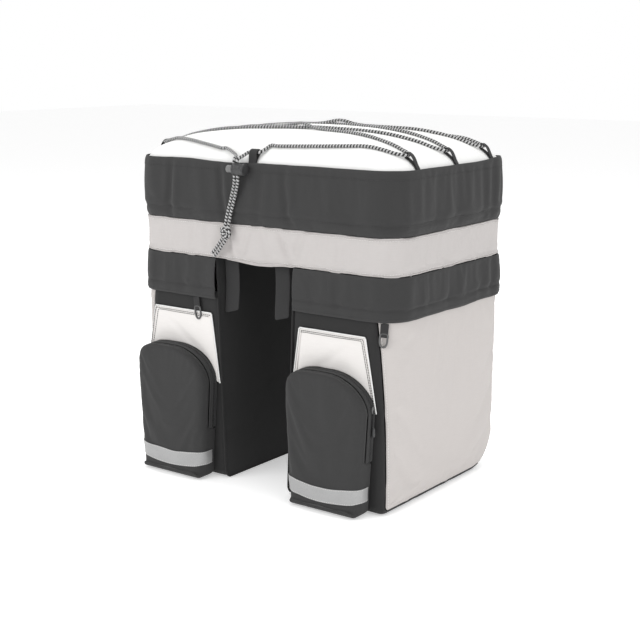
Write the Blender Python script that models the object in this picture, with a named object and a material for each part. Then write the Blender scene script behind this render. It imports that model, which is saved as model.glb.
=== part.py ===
"""Rear rack bag: a trunk with a laced lid and two hanging panniers.

Metres, +Z up, the bag stands on its pannier bottoms at z = 0, its front faces -Y.
"""

import math

import bpy
import bmesh
from mathutils import Vector

# Trunk
TRUNK_WIDTH = 0.400
TRUNK_DEPTH = 0.262
TRUNK_CORNER = 0.037
PANNIER_DROP = 0.232
LOWER_BAND_HEIGHT = 0.052
MIDDLE_BAND_HEIGHT = 0.044
UPPER_BAND_HEIGHT = 0.076
CROWN_HEIGHT = 0.036
HEM_LIP = 0.005
HEM_OVERLAP = 0.010
FLOOR_THICKNESS = 0.003
LID_POWER = 2.6
LID_ROUNDING = 0.58
LID_STEP = 0.0002
LID_PULL = 0.004

# Cloth and the clearances between neighbours
CLOTH = 0.002
SEAM_GAP = 0.0003
SIDE_CLEARANCE = 0.0005
SEAM_WIDTH = 0.0006

# Bulge of each wall beyond the straight outline
UPPER_BULGE = 0.0025
MIDDLE_DIP = 0.0025
LOWER_BULGE = 0.0015
HEM_FLARE = 0.0012
COLLAR_STEP = 0.0008
FRONT_SAG = 0.004
FOLD_DEPTH = 0.004

# Panniers
PANNIER_SETBACK = 0.0015
GAP_TOP = 0.120
GAP_BOTTOM = 0.098
GAP_SHIFT = -0.005
OUTER_TAPER = 0.012
EDGE_RADIUS_TOP = 0.036
EDGE_RADIUS_BOTTOM = 0.012
BOTTOM_FRONT_RADIUS = 0.012
BOTTOM_BACK_RADIUS = 0.050
SEAM_ANGLE_TOP = 15.0
SEAM_ANGLE_BOTTOM = 58.0
SIDE_BULGE = 0.003
SPINE_FOOT = 0.070

# Pockets
POCKET_HALF_WIDTH = 0.058
POCKET_HALF_FOOT = 0.050
POCKET_INSET = 0.080
POCKET_DEPTH = 0.030
POCKET_SPRING = 0.125
POCKET_RISE = 0.043
POCKET_FOOT = 0.002
POCKET_SPINE_FOOT = 0.012
POCKET_EDGE = 0.016
POCKET_TOP_EDGE = 0.009
ARCH_POWER = 2.5
POCKET_FOOT_RADIUS = 0.006
POCKET_BULGE = 0.003
ZIP_BAND_WIDTH = 0.014
ZIP_START = 0.066
STRIP_FOOT = 0.019
STRIP_HEIGHT = 0.018
STRIP_SAG = 0.004
STRIP_THICKNESS = 0.0008
STRIP_CLEARANCE = 0.0004
STRIP_BACK = 0.006

# Front patches
PATCH_DROP = 0.019
PATCH_TOP_INNER = 0.051
PATCH_TOP_OUTER = 0.044
PATCH_FOOT_INNER = 0.0635
PATCH_FOOT_OUTER = 0.0600
PATCH_THICKNESS = 0.0015

# Webbing, loops and cord
STRAP_WIDTH = 0.022
STRAP_LENGTH = 0.070
STRAP_THICKNESS = 0.0018
STRAP_SKEW = 0.006
STRAP_SETBACK = 0.012
STRAP_LEFT_PLACE = -0.050
STRAP_RIGHT_PLACE = 0.029
CORD_DIAMETER = 0.004
LACING_STEP = 0.030
TAIL_STEP = 0.011
LOOP_WIDTH = 0.007
LOOP_LENGTH = 0.020
LOOP_THICKNESS = 0.0010
LOOP_ROOT = 0.0065
LOOP_SPACING = 0.085
FRONT_LOOP_OFFSET = 0.010
FRONT_LOOP_LENGTH = 0.013
FRONT_LOOP_WIDTH = 0.012
EYE_CLEARANCE = 0.0008
LIFT = 0.0009
CROSSING_LIFT = 1.25

# Cord lock
LOCK_RADIUS = 0.0075
LOCK_LENGTH = 0.018
LOCK_PLACE = -0.016
LOCK_DROP = 0.008
LOCK_CLEARANCE = 0.0006
LOCK_BORE_DEPTH = 0.009
BUTTON_RADIUS = 0.0045
BUTTON_LENGTH = 0.016
BUTTON_TRAVEL = 0.003
BUTTON_CLEARANCE = 0.0004
TAIL_SPACING = 0.0050
HOLE_OFFSET = -0.006
KNOT_RADIUS = 0.0065
KNOT_FLATNESS = 0.6
KNOT_BLUNTNESS = 0.8

# Zip pulls
PULL_WIDTH = 0.011
PULL_LENGTH = 0.014
PULL_THICKNESS = 0.0014
RING_LENGTH = 0.016
RING_WIDTH = 0.010
RING_BAR = 0.0022
PULL_SIDES = 14
TAB_SQUARENESS = 0.35
RING_ROUNDNESS = 0.6
PULL_CLEARANCE = 0.0008
TRUNK_PULL_PLACE = -0.085
TRUNK_PULL_SHARE = 0.03
LEFT_PULL_INSET = 0.103
LEFT_PULL_LEAN = 0.10
RIGHT_PULL_ANGLE = 32.0
RIGHT_PULL_LEAN = -0.05
POCKET_PULL_RISE = 0.010
POCKET_PULL_WIDTH = 0.006
POCKET_PULL_LENGTH = 0.036

FLOOR_Z = PANNIER_DROP + LOWER_BAND_HEIGHT
MIDDLE_TOP = FLOOR_Z + MIDDLE_BAND_HEIGHT
TRUNK_TOP = MIDDLE_TOP + UPPER_BAND_HEIGHT
LID_RIM = TRUNK_TOP - HEM_LIP
HALF_WIDTH = TRUNK_WIDTH / 2
POCKET_OFFSET = HALF_WIDTH - POCKET_INSET
PATCH_TOP = PANNIER_DROP - PATCH_DROP
HALF_DEPTH = TRUNK_DEPTH / 2
LID_INSET = CLOTH + SIDE_CLEARANCE
FRONT_PLANE = -HALF_DEPTH + PANNIER_SETBACK
# The origin lies under the middle of the bag's box, which the pockets lengthen forwards
BACK_REACH = HALF_DEPTH + UPPER_BULGE
FRONT_REACH = -FRONT_PLANE + POCKET_DEPTH + POCKET_BULGE + STRIP_CLEARANCE + STRIP_THICKNESS
ORIGIN_SHIFT = (FRONT_REACH - BACK_REACH) / 2

# Folds of the trunk wall. Columns: band, place round the half outline (-1 back left,
# 0 front middle, 1 back right), share of the fold depth, half width as a share of the
# trunk width, lean from foot to top as a share of the half outline
FOLDS = [
    ("upper", -0.215, 0.55, 0.035, 0.000),
    ("upper", -0.085, 0.45, 0.030, -0.010),
    ("upper", 0.070, 0.50, 0.032, -0.012),
    ("upper", 0.300, 0.60, 0.035, 0.010),
    ("upper", 0.500, 0.40, 0.040, 0.000),
    ("upper", 0.670, 0.60, 0.030, 0.010),
    ("middle", -0.075, 0.45, 0.030, -0.030),
    ("middle", 0.065, 0.55, 0.032, -0.040),
    ("middle", 0.305, 0.50, 0.035, 0.012),
    ("middle", 0.660, 0.45, 0.030, 0.012),
]

# Route of the lacing over one half of the way between two loops, as shares of that way.
# Columns: share of the way, sideways bow as a share of it, lift in cord diameters
SPAN_POINTS = [
    (0.07, 0.000, 0.0),
    (0.20, 0.003, 0.0),
    (0.41, 0.006, 0.0),
    (0.50, 0.006, 1.0),
    (0.59, 0.006, 0.0),
    (0.80, 0.003, 0.0),
    (0.93, 0.000, 0.0),
]

# Routes of the two tails below the lock. Columns: across, towards the bag, down,
# each in cord diameters from the foot of the lock
TAIL_ROUTE = [
    (0.0, 0.0, -0.1),
    (0.0, 0.02, -0.9),
    (-0.5, 0.45, -2.6),
    (-2.2, 1.0, -7.0),
    (-3.9, 1.1, -12.0),
    (-4.95, 1.1, -16.05),
]
END_ROUTE = [
    (-5.8, 1.1, -19.3),
    (-7.0, 1.1, -20.9),
    (-8.6, 1.1, -22.9),
    (-10.4, 1.1, -24.8),
]
KNOT_PLACE = (-5.3, 1.1, -17.5)

PAINT = {
    "charcoal": ((0.055, 0.055, 0.056, 1.0), 0.85, 0.0),
    "black": ((0.017, 0.017, 0.018, 1.0), 0.88, 0.0),
    "light_grey": ((0.70, 0.68, 0.66, 1.0), 0.85, 0.0),
    "warm_grey": ((0.63, 0.60, 0.57, 1.0), 0.85, 0.0),
    "off_white": ((0.76, 0.73, 0.70, 1.0), 0.85, 0.0),
    "white": ((0.90, 0.90, 0.89, 1.0), 0.80, 0.0),
    "silver": ((0.46, 0.46, 0.46, 1.0), 0.45, 0.0),
    "webbing": ((0.020, 0.020, 0.020, 1.0), 0.80, 0.0),
    "cord": ((0.08, 0.08, 0.08, 1.0), 0.75, 0.0),
    "plastic": ((0.015, 0.015, 0.015, 1.0), 0.45, 0.0),
    "grey_plastic": ((0.20, 0.20, 0.20, 1.0), 0.40, 0.0),
}


def clear_scene():
    for item in list(bpy.data.objects):
        bpy.data.objects.remove(item, do_unlink=True)


def material(name, paint):
    colour, roughness, metallic = PAINT[paint]
    found = bpy.data.materials.new(name + "_" + paint)
    found.use_nodes = True
    shader = found.node_tree.nodes["Principled BSDF"]
    shader.inputs["Base Color"].default_value = colour
    shader.inputs["Roughness"].default_value = roughness
    shader.inputs["Metallic"].default_value = metallic
    return found


def place(item, name, paint):
    item.data.materials.append(material(name, paint))
    item.location.y = ORIGIN_SHIFT
    bpy.context.scene.collection.objects.link(item)
    return item


def body(name, points, faces, paint, weld=0.00002):
    """Make one closed body from points and faces, with its faces turned outwards."""
    mesh = bpy.data.meshes.new(name)
    mesh.from_pydata([tuple(point) for point in points], [], faces)
    work = bmesh.new()
    work.from_mesh(mesh)
    bmesh.ops.remove_doubles(work, verts=work.verts, dist=weld)
    bmesh.ops.dissolve_degenerate(work, edges=work.edges, dist=weld)
    bmesh.ops.recalc_face_normals(work, faces=work.faces)
    work.to_mesh(mesh)
    work.free()
    mesh.shade_smooth()
    mesh.set_sharp_from_angle(angle=math.radians(40))
    return place(bpy.data.objects.new(name, mesh), name, paint)


def mix(first, last, share):
    return first + (last - first) * share


def bounded(value, low, high):
    return max(low, min(high, value))


def spread(first, last, count):
    return [mix(first, last, index / count) for index in range(count + 1)]


def shell(name, outer, inner, paint, wrap=False, weld=0.00002):
    """Close two matching grids of points into one cloth wall."""
    rows = len(outer)
    columns = len(outer[0])
    points = [point for row in outer for point in row]
    points += [point for row in inner for point in row]
    offset = rows * columns

    def at(layer, row, column):
        return layer * offset + (row % rows) * columns + column

    faces = []
    for row in range(rows if wrap else rows - 1):
        for column in range(columns - 1):
            faces.append([at(0, row, column), at(0, row + 1, column),
                          at(0, row + 1, column + 1), at(0, row, column + 1)])
            faces.append([at(1, row, column), at(1, row, column + 1),
                          at(1, row + 1, column + 1), at(1, row + 1, column)])
        for column in (0, columns - 1):
            faces.append([at(0, row, column), at(1, row, column),
                          at(1, row + 1, column), at(0, row + 1, column)])
    if not wrap:
        for row in (0, rows - 1):
            for column in range(columns - 1):
                faces.append([at(0, row, column), at(0, row, column + 1),
                              at(1, row, column + 1), at(1, row, column)])
    return body(name, points, faces, paint, weld)


def dish(name, outer, inner, paint, wrap=False):
    """Close two grids whose last column has run together into a middle line."""
    rows = len(outer)
    columns = len(outer[0])
    points = [point for row in outer for point in row]
    points += [point for row in inner for point in row]
    offset = rows * columns

    def at(layer, row, column):
        return layer * offset + (row % rows) * columns + column

    faces = []
    for row in range(rows if wrap else rows - 1):
        for column in range(columns - 1):
            for layer in (0, 1):
                faces.append([at(layer, row, column), at(layer, row + 1, column),
                              at(layer, row + 1, column + 1), at(layer, row, column + 1)])
        faces.append([at(0, row, 0), at(1, row, 0), at(1, row + 1, 0), at(0, row + 1, 0)])
    if not wrap:
        for row in (0, rows - 1):
            for column in range(columns - 1):
                faces.append([at(0, row, column), at(0, row, column + 1),
                              at(1, row, column + 1), at(1, row, column)])
    return body(name, points, faces, paint, weld=0.0001)


def mirrored(grid, side):
    return [[Vector((side * point.x, point.y, point.z)) for point in row] for row in grid]


# Trunk


FRONT_RUN = HALF_WIDTH - TRUNK_CORNER
SIDE_RUN = HALF_DEPTH - TRUNK_CORNER
CORNER_RUN = TRUNK_CORNER * math.pi / 2
HALF_OUTLINE = 2 * FRONT_RUN + 2 * CORNER_RUN + 2 * SIDE_RUN


def trunk_outline(position):
    """Point and outward normal round the trunk: 0 is front middle, -1 and 1 back middle."""
    side = 1 if position >= 0 else -1
    run = abs(position) * HALF_OUTLINE
    if run < FRONT_RUN:
        x, y, across, along = run, -HALF_DEPTH, 0.0, -1.0
    elif run < FRONT_RUN + CORNER_RUN:
        angle = (run - FRONT_RUN) / TRUNK_CORNER
        across, along = math.sin(angle), -math.cos(angle)
        x, y = FRONT_RUN + TRUNK_CORNER * across, -SIDE_RUN + TRUNK_CORNER * along
    elif run < FRONT_RUN + CORNER_RUN + 2 * SIDE_RUN:
        x, y, across, along = HALF_WIDTH, run - FRONT_RUN - CORNER_RUN - SIDE_RUN, 1.0, 0.0
    elif run < FRONT_RUN + 2 * CORNER_RUN + 2 * SIDE_RUN:
        angle = (run - FRONT_RUN - CORNER_RUN - 2 * SIDE_RUN) / TRUNK_CORNER
        across, along = math.cos(angle), math.sin(angle)
        x, y = FRONT_RUN + TRUNK_CORNER * across, SIDE_RUN + TRUNK_CORNER * along
    else:
        x, y, across, along = HALF_OUTLINE - run, HALF_DEPTH, 0.0, 1.0
    return x * side, y, across * side, along


def trunk_positions():
    """Positions round half the outline, close together at the corners."""
    stops = [0.0, FRONT_RUN, FRONT_RUN + CORNER_RUN, FRONT_RUN + CORNER_RUN + 2 * SIDE_RUN,
             FRONT_RUN + 2 * CORNER_RUN + 2 * SIDE_RUN, HALF_OUTLINE]
    steps = (7, 4, 6, 4, 3)
    positions = []
    for start, end, count in zip(stops, stops[1:], steps):
        positions += [run / HALF_OUTLINE for run in spread(start, end, count)[:-1]]
    return positions + [1.0]


def trunk_ring():
    half = trunk_positions()
    return [-position for position in reversed(half[1:-1])] + half


def fold_depth(band, position, share):
    total = 0.0
    for fold_band, place_share, depth, width, lean in FOLDS:
        if fold_band != band:
            continue
        distance = (position - place_share - lean * (share - 0.5)) * HALF_OUTLINE
        total += depth * math.exp(-(distance / (width * TRUNK_WIDTH)) ** 2)
    return FOLD_DEPTH * total * math.sin(math.pi * bounded(share, 0.0, 1.0)) ** 0.7


def front_sag(position):
    """Droop of the grey band's foot where nothing holds it, between the panniers."""
    x, y, across, along = trunk_outline(position)
    reach = GAP_TOP / 2 - abs(GAP_SHIFT)
    if along > -0.5 or abs(x) >= reach:
        return 0.0
    return FRONT_SAG * (1 - (x / reach) ** 2) ** 2


def band_point(band, position, share, depth):
    x, y, across, along = trunk_outline(position)
    swell = math.sin(math.pi * share)
    if band == "upper":
        low, high, out = MIDDLE_TOP + SEAM_GAP, TRUNK_TOP, UPPER_BULGE * swell
    elif band == "middle":
        low, high, out = FLOOR_Z - front_sag(position), MIDDLE_TOP, -MIDDLE_DIP * swell
    else:
        low, high = PANNIER_DROP, FLOOR_Z - SEAM_GAP
        out = mix(HEM_FLARE, COLLAR_STEP, share) + LOWER_BULGE * swell
    out -= fold_depth(band, position, share) + depth
    return Vector((x + across * out, y + along * out, mix(low, high, share)))


def band(name, kind, positions, shares, paint, wrap):
    outer = [[band_point(kind, p, share, 0.0) for share in shares] for p in positions]
    inner = [[band_point(kind, p, share, CLOTH) for share in shares] for p in positions]
    return shell(name, outer, inner, paint, wrap)


def lid_share(x, y):
    """How far out a point lies on the lid: 0 in the middle, 1 on the lid's rim."""
    half_x = HALF_WIDTH - LID_INSET
    half_y = HALF_DEPTH - LID_INSET
    corner = TRUNK_CORNER - LID_INSET
    low, high = 0.0, 2.0
    for _ in range(40):
        share = (low + high) / 2
        if share == 0.0:
            break
        over_x = abs(x) / share - (half_x - corner)
        over_y = abs(y) / share - (half_y - corner)
        reach = math.hypot(max(over_x, 0.0), max(over_y, 0.0)) + min(max(over_x, over_y), 0.0)
        if reach > corner:
            low = share
        else:
            high = share
    return (low + high) / 2


def lid_height(x, y):
    share = min(lid_share(x, y), 1.0)
    return LID_RIM + (CROWN_HEIGHT + HEM_LIP) * (1 - share ** LID_POWER) ** LID_ROUNDING


def lid_normal(x, y):
    x, y = x * (1 - LID_PULL), y * (1 - LID_PULL)
    step = 2 * LID_STEP
    slope_x = (lid_height(x + step, y) - lid_height(x - step, y)) / (2 * step)
    slope_y = (lid_height(x, y + step) - lid_height(x, y - step)) / (2 * step)
    return Vector((-slope_x, -slope_y, 1.0)).normalized()


def make_lid():
    shares = [0.0, 0.015, 0.055, 0.14, 0.30, 0.60, 1.0]
    outer, inner = [], []
    for position in trunk_ring():
        x, y, across, along = trunk_outline(position)
        rim_x, rim_y = x - across * LID_INSET, y - along * LID_INSET
        outer_row, inner_row = [], []
        for share in shares:
            point_x, point_y = rim_x * (1 - share), rim_y * (1 - share)
            point = Vector((point_x, point_y, lid_height(point_x, point_y)))
            if share == 0.0:
                point.z = LID_RIM
                normal = Vector((across, along, 0.0))
            else:
                normal = lid_normal(point_x, point_y)
            outer_row.append(point)
            inner_row.append(point - normal * CLOTH)
        outer.append(outer_row)
        inner.append(inner_row)
    dish("top_panel", outer, inner, "white", wrap=True)


def make_floor():
    rise = math.sin(math.pi * FLOOR_THICKNESS / MIDDLE_BAND_HEIGHT)
    inset = CLOTH + SIDE_CLEARANCE + (MIDDLE_DIP + FOLD_DEPTH) * rise
    points = []
    ring = trunk_ring()
    for height in (FLOOR_Z, FLOOR_Z + FLOOR_THICKNESS):
        for position in ring:
            x, y, across, along = trunk_outline(position)
            points.append(Vector((x - across * inset, y - along * inset, height)))
    count = len(ring)
    faces = [list(range(count)), list(range(count, 2 * count))]
    for index in range(count):
        after = (index + 1) % count
        faces.append([index, after, count + after, count + index])
    body("trunk_floor", points, faces, "black")


def make_trunk():
    ring = trunk_ring()
    band("upper_band", "upper", ring, [0.0, 0.2, 0.5, 0.8, 1.0], "charcoal", True)
    band("middle_band", "middle", ring, [0.0, 0.3, 0.7, 1.0], "light_grey", True)
    make_floor()
    make_lid()


# Panniers, built on the right and mirrored for the left


PANNIER_TOP = PANNIER_DROP + HEM_OVERLAP
BACK_PLANE = -FRONT_PLANE


def strip_path(run, top):
    """Point and outward normal down the front, under the bottom and up the back."""
    lengths = (top - BOTTOM_FRONT_RADIUS, BOTTOM_FRONT_RADIUS * math.pi / 2,
               BACK_PLANE - FRONT_PLANE - BOTTOM_FRONT_RADIUS - BOTTOM_BACK_RADIUS,
               BOTTOM_BACK_RADIUS * math.pi / 2)
    if run <= lengths[0]:
        return FRONT_PLANE, top - run, -1.0, 0.0
    run -= lengths[0]
    if run <= lengths[1]:
        angle = run / BOTTOM_FRONT_RADIUS
        along, up = -math.cos(angle), -math.sin(angle)
        return (FRONT_PLANE + BOTTOM_FRONT_RADIUS * (1 + along),
                BOTTOM_FRONT_RADIUS * (1 + up), along, up)
    run -= lengths[1]
    if run <= lengths[2]:
        return FRONT_PLANE + BOTTOM_FRONT_RADIUS + run, 0.0, 0.0, -1.0
    run -= lengths[2]
    if run <= lengths[3]:
        angle = run / BOTTOM_BACK_RADIUS
        along, up = math.sin(angle), -math.cos(angle)
        return (BACK_PLANE - BOTTOM_BACK_RADIUS * (1 - along),
                BOTTOM_BACK_RADIUS * (1 + up), along, up)
    return BACK_PLANE, BOTTOM_BACK_RADIUS + run - lengths[3], 1.0, 0.0


def strip_runs(top):
    """Runs along the path, at the same heights in front and behind above the spine's foot."""
    front = top - BOTTOM_FRONT_RADIUS
    corner = BOTTOM_FRONT_RADIUS * math.pi / 2
    flat = BACK_PLANE - FRONT_PLANE - BOTTOM_FRONT_RADIUS - BOTTOM_BACK_RADIUS
    back_corner = BOTTOM_BACK_RADIUS * math.pi / 2
    levels = spread(top, SPINE_FOOT, 4)
    runs = [top - level for level in levels]
    runs += [front * share for share in spread((top - SPINE_FOOT) / front, 1.0, 2)[1:]]
    for start, length, count in ((front, corner, 2), (front + corner, flat, 4),
                                 (front + corner + flat, back_corner, 4)):
        runs += [start + share * length for share in spread(0.0, 1.0, count)[1:]]
    end = runs[-1]
    runs += [end + level - BOTTOM_BACK_RADIUS for level in reversed(levels)]
    return runs


def outer_x(z):
    return HALF_WIDTH - PANNIER_SETBACK - OUTER_TAPER * (1 - z / PANNIER_TOP)


def inner_x(z, shift):
    return mix(GAP_BOTTOM, GAP_TOP, z / FLOOR_Z) / 2 + shift


def edge_radius(z):
    return mix(EDGE_RADIUS_BOTTOM, EDGE_RADIUS_TOP, z / PANNIER_TOP)


def seam_angle(z):
    return math.radians(mix(SEAM_ANGLE_BOTTOM, SEAM_ANGLE_TOP, z / PANNIER_TOP))


def pannier_point(run, angle, depth):
    """Point over the rounded outer edge: angle 0 on the strip, a right angle on the side."""
    y, z, along, up = strip_path(run, PANNIER_TOP)
    radius = edge_radius(z)
    inset = radius * (1 - math.cos(angle)) + depth * math.cos(angle)
    height = z - up * inset
    x = outer_x(z) - radius + (radius - depth) * math.sin(angle)
    return Vector((x, y - along * inset, height))


def side_point(run, share, depth):
    """Point on the side face, from its edge (0) to the upright line in its middle (1)."""
    y, z, along, up = strip_path(run, PANNIER_TOP)
    radius = edge_radius(z)
    edge_y, edge_z = y - along * radius, z - up * radius
    target = bounded(edge_z, SPINE_FOOT, PANNIER_TOP)
    height = mix(edge_z, target, share)
    fade = bounded((PANNIER_DROP - height) / (PANNIER_DROP / 4), 0.0, 1.0)
    swell = SIDE_BULGE * math.sin(share * math.pi / 2) * fade
    x = mix(outer_x(z), outer_x(target), share) + swell - depth
    return Vector((x, mix(edge_y, 0.0, share), height))


def make_gusset(name, side, shift):
    outer, inner = [], []
    for run in strip_runs(PANNIER_TOP):
        y, z, along, up = strip_path(run, PANNIER_TOP)
        radius = edge_radius(z)
        start = inner_x(z, shift) + CLOTH + SEAM_GAP
        end = outer_x(z) - radius
        seam = seam_angle(z) - SEAM_WIDTH / 2 / radius
        outer_row = [Vector((x, y, z)) for x in spread(start, end, 2)]
        inner_row = [Vector((x, y - along * CLOTH, z - up * CLOTH)) for x in spread(start, end, 2)]
        for angle in spread(0.0, seam, 3)[1:]:
            outer_row.append(pannier_point(run, angle, 0.0))
            inner_row.append(pannier_point(run, angle, CLOTH))
        outer.append(outer_row)
        inner.append(inner_row)
    shell(name, mirrored(outer, side), mirrored(inner, side), "black")


def make_side_panel(name, side):
    outer, inner = [], []
    for run in strip_runs(PANNIER_TOP):
        y, z, along, up = strip_path(run, PANNIER_TOP)
        seam = seam_angle(z) + SEAM_WIDTH / 2 / edge_radius(z)
        outer_row, inner_row = [], []
        for angle in spread(seam, math.pi / 2, 3)[:-1]:
            outer_row.append(pannier_point(run, angle, 0.0))
            inner_row.append(pannier_point(run, angle, CLOTH))
        for share in (0.0, 0.5, 1.0):
            outer_row.append(side_point(run, share, 0.0))
            inner_row.append(side_point(run, share, CLOTH))
        outer.append(outer_row)
        inner.append(inner_row)
    dish(name, mirrored(outer, side), mirrored(inner, side), "warm_grey")


def make_inner_panel(name, side, shift):
    top = FLOOR_Z - SEAM_GAP
    outer, inner = [], []
    for run in strip_runs(top):
        y, z, along, up = strip_path(run, top)
        target = bounded(z, SPINE_FOOT, top)
        outer_row, inner_row = [], []
        for share in (0.0, 1.0):
            height = mix(z, target, share)
            x = inner_x(height, shift)
            outer_row.append(Vector((x, mix(y, 0.0, share), height)))
            inner_row.append(Vector((x + CLOTH, mix(y, 0.0, share), height)))
        outer.append(outer_row)
        inner.append(inner_row)
    dish(name, mirrored(outer, side), mirrored(inner, side), "black")


def make_lower_band(name, side, shift):
    front_end = (GAP_TOP / 2 + shift) / HALF_OUTLINE
    back_end = 1 - front_end
    positions = [front_end]
    positions += [p for p in trunk_positions() if front_end + 0.01 < p < back_end - 0.01]
    positions.append(back_end)
    kind = "lower"
    shares = [0.0, 0.25, 0.6, 1.0]
    positions = [side * position for position in positions]
    band(name, kind, positions, shares, "charcoal", False)


# Pockets and patches on the front, also built on the right


def arch_point(angle, grow):
    """Point and normal on the pocket's arch, 0 at its right foot, half a turn at its left."""
    half = POCKET_HALF_WIDTH + grow
    rise = POCKET_RISE + grow
    cosine, sine = math.cos(angle), math.sin(angle)
    power = 2 / ARCH_POWER
    x = math.copysign(half * abs(cosine) ** power, cosine)
    z = POCKET_SPRING + rise * abs(sine) ** power
    slope = Vector((math.copysign((abs(x) / half) ** (ARCH_POWER - 1) / half, cosine), 0.0,
                    ((z - POCKET_SPRING) / rise) ** (ARCH_POWER - 1) / rise)).normalized()
    return x, z, slope.x, slope.z


def pocket_half(z):
    return mix(POCKET_HALF_FOOT, POCKET_HALF_WIDTH, z / POCKET_SPRING)


def pocket_side(z):
    """Station on the pocket's side wall, which leans outwards towards its top."""
    normal = Vector((POCKET_SPRING, POCKET_HALF_FOOT - POCKET_HALF_WIDTH)).normalized()
    return pocket_half(z), z, normal.x, normal.y


def pocket_stations():
    """Points and normals round the pocket, from its bottom middle up the right side."""
    corner = POCKET_FOOT_RADIUS + POCKET_FOOT
    run = pocket_half(corner) - POCKET_FOOT_RADIUS
    right = [(run * share, POCKET_FOOT, 0.0, -1.0) for share in (0.0, 0.5)]
    for angle in spread(0.0, math.pi / 2, 2):
        right.append((run + POCKET_FOOT_RADIUS * math.sin(angle),
                      corner - POCKET_FOOT_RADIUS * math.cos(angle),
                      math.sin(angle), -math.cos(angle)))
    levels = spread(corner, ZIP_START, 2)[1:] + spread(ZIP_START, POCKET_SPRING, 2)[1:]
    levels.insert(levels.index(ZIP_START) + 1, ZIP_START + SEAM_WIDTH)
    right += [pocket_side(level) for level in levels]
    for angle in spread(0.0, math.pi / 2, 5)[1:-1]:
        right.append(arch_point(angle, 0.0))
    top = [(0.0, POCKET_SPRING + POCKET_RISE, 0.0, 1.0)]
    left = [(-x, z, -across, up) for x, z, across, up in reversed(right[1:])]
    return right + top + left


def pocket_edge(z, up):
    """Radius of the pocket's front edge: small below, wide at the sides, less on the arch."""
    if up < 0.0:
        return mix(POCKET_EDGE, POCKET_FOOT_RADIUS, -up)
    return mix(POCKET_EDGE, POCKET_TOP_EDGE, up)


def pocket_point(station, across, depth, centre):
    """Point over the pocket: across 0 to 1 is the wall, 1 to 2 its edge, 2 to 3 the face."""
    x, z, nx, nz = station
    edge = pocket_edge(z, nz)
    if across <= 1.0:
        reach = mix(0.0, POCKET_DEPTH - edge, across)
        inset, forward = depth, reach
    elif across <= 2.0:
        angle = (across - 1.0) * math.pi / 2
        inset = edge * (1 - math.cos(angle)) + depth * math.cos(angle)
        forward = POCKET_DEPTH - edge + (edge - depth) * math.sin(angle)
    else:
        share = across - 2.0
        face_x, face_z = x - nx * edge, z - nz * edge
        target = bounded(face_z, POCKET_SPINE_FOOT, POCKET_SPRING)
        swell = POCKET_BULGE * math.sin(share * math.pi / 2)
        return Vector((centre + face_x * (1 - share), FRONT_PLANE - POCKET_DEPTH - swell + depth,
                       mix(face_z, target, share)))
    return Vector((centre + x - nx * inset, FRONT_PLANE - forward, z - nz * inset))


def in_zip(station):
    return station[1] > ZIP_START + SEAM_WIDTH / 2


def wall_share(station, forward):
    return forward / (POCKET_DEPTH - pocket_edge(station[1], station[3]))


def make_pocket(name, side, centre):
    outer, inner = [], []
    for station in pocket_stations():
        start = ZIP_BAND_WIDTH + SEAM_WIDTH if in_zip(station) else SEAM_GAP
        columns = [wall_share(station, start), 1.0, 1.35, 1.7, 2.0, 2.5, 3.0]
        outer.append([pocket_point(station, across, 0.0, centre) for across in columns])
        inner.append([pocket_point(station, across, CLOTH, centre) for across in columns])
    dish(name, mirrored(outer, side), mirrored(inner, side), "charcoal", wrap=True)


def make_pocket_zip(name, side, centre):
    stations = [station for station in pocket_stations() if in_zip(station)]
    outer, inner = [], []
    for station in stations:
        columns = [wall_share(station, forward) for forward in (SEAM_GAP, ZIP_BAND_WIDTH)]
        outer.append([pocket_point(station, across, 0.0, centre) for across in columns])
        inner.append([pocket_point(station, across, CLOTH, centre) for across in columns])
    shell(name, mirrored(outer, side), mirrored(inner, side), "charcoal")


def make_reflector(name, side, centre):
    """The strip hangs a little lower in its middle and turns back along both side walls."""
    middle = STRIP_FOOT + STRIP_HEIGHT / 2
    columns = [wall_share((0.0, middle, 1.0, 0.0), STRIP_BACK), 1.0]
    columns += [1.0 + share for share in spread(0.0, 1.0, 6)[1:]] + [2.5, 3.0]
    outer, inner = [], []
    for half in (1, -1):
        path = columns if half == 1 else list(reversed(columns[:-1]))
        for across in path:
            outer_row, inner_row = [], []
            for level in (STRIP_FOOT, STRIP_FOOT + STRIP_HEIGHT):
                x, z, across_x, up = pocket_side(level)
                station = (half * x, z, half * across_x, up)
                for row, depth in ((outer_row, -STRIP_CLEARANCE - STRIP_THICKNESS),
                                   (inner_row, -STRIP_CLEARANCE)):
                    point = pocket_point(station, across, depth, centre)
                    place_share = (point.x - centre) / x
                    point.z -= STRIP_SAG * (1 - place_share ** 2)
                    row.append(point)
            outer.append(outer_row)
            inner.append(inner_row)
    shell(name, mirrored(outer, side), mirrored(inner, side), "silver")


def make_patch(name, side, centre):
    """The patch's foot follows the pocket's arch, with an ear past each of its shoulders."""
    foot = [(PATCH_FOOT_OUTER, POCKET_SPRING)]
    for angle in spread(0.0, math.pi, 12):
        x, z, across, up = arch_point(angle, SEAM_WIDTH)
        foot.append((x, z))
    foot.append((-PATCH_FOOT_INNER, POCKET_SPRING))
    outer, inner = [], []
    for x, z in foot:
        share = (x + PATCH_FOOT_INNER) / (PATCH_FOOT_INNER + PATCH_FOOT_OUTER)
        top_x = mix(-PATCH_TOP_INNER, PATCH_TOP_OUTER, share)
        outer_row, inner_row = [], []
        for column_x, column_z in ((centre + x, z), (centre + top_x, PATCH_TOP)):
            outer_row.append(Vector((column_x, FRONT_PLANE - SEAM_GAP - PATCH_THICKNESS, column_z)))
            inner_row.append(Vector((column_x, FRONT_PLANE - SEAM_GAP, column_z)))
        outer.append(outer_row)
        inner.append(inner_row)
    shell(name, mirrored(outer, side), mirrored(inner, side), "off_white")


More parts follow.
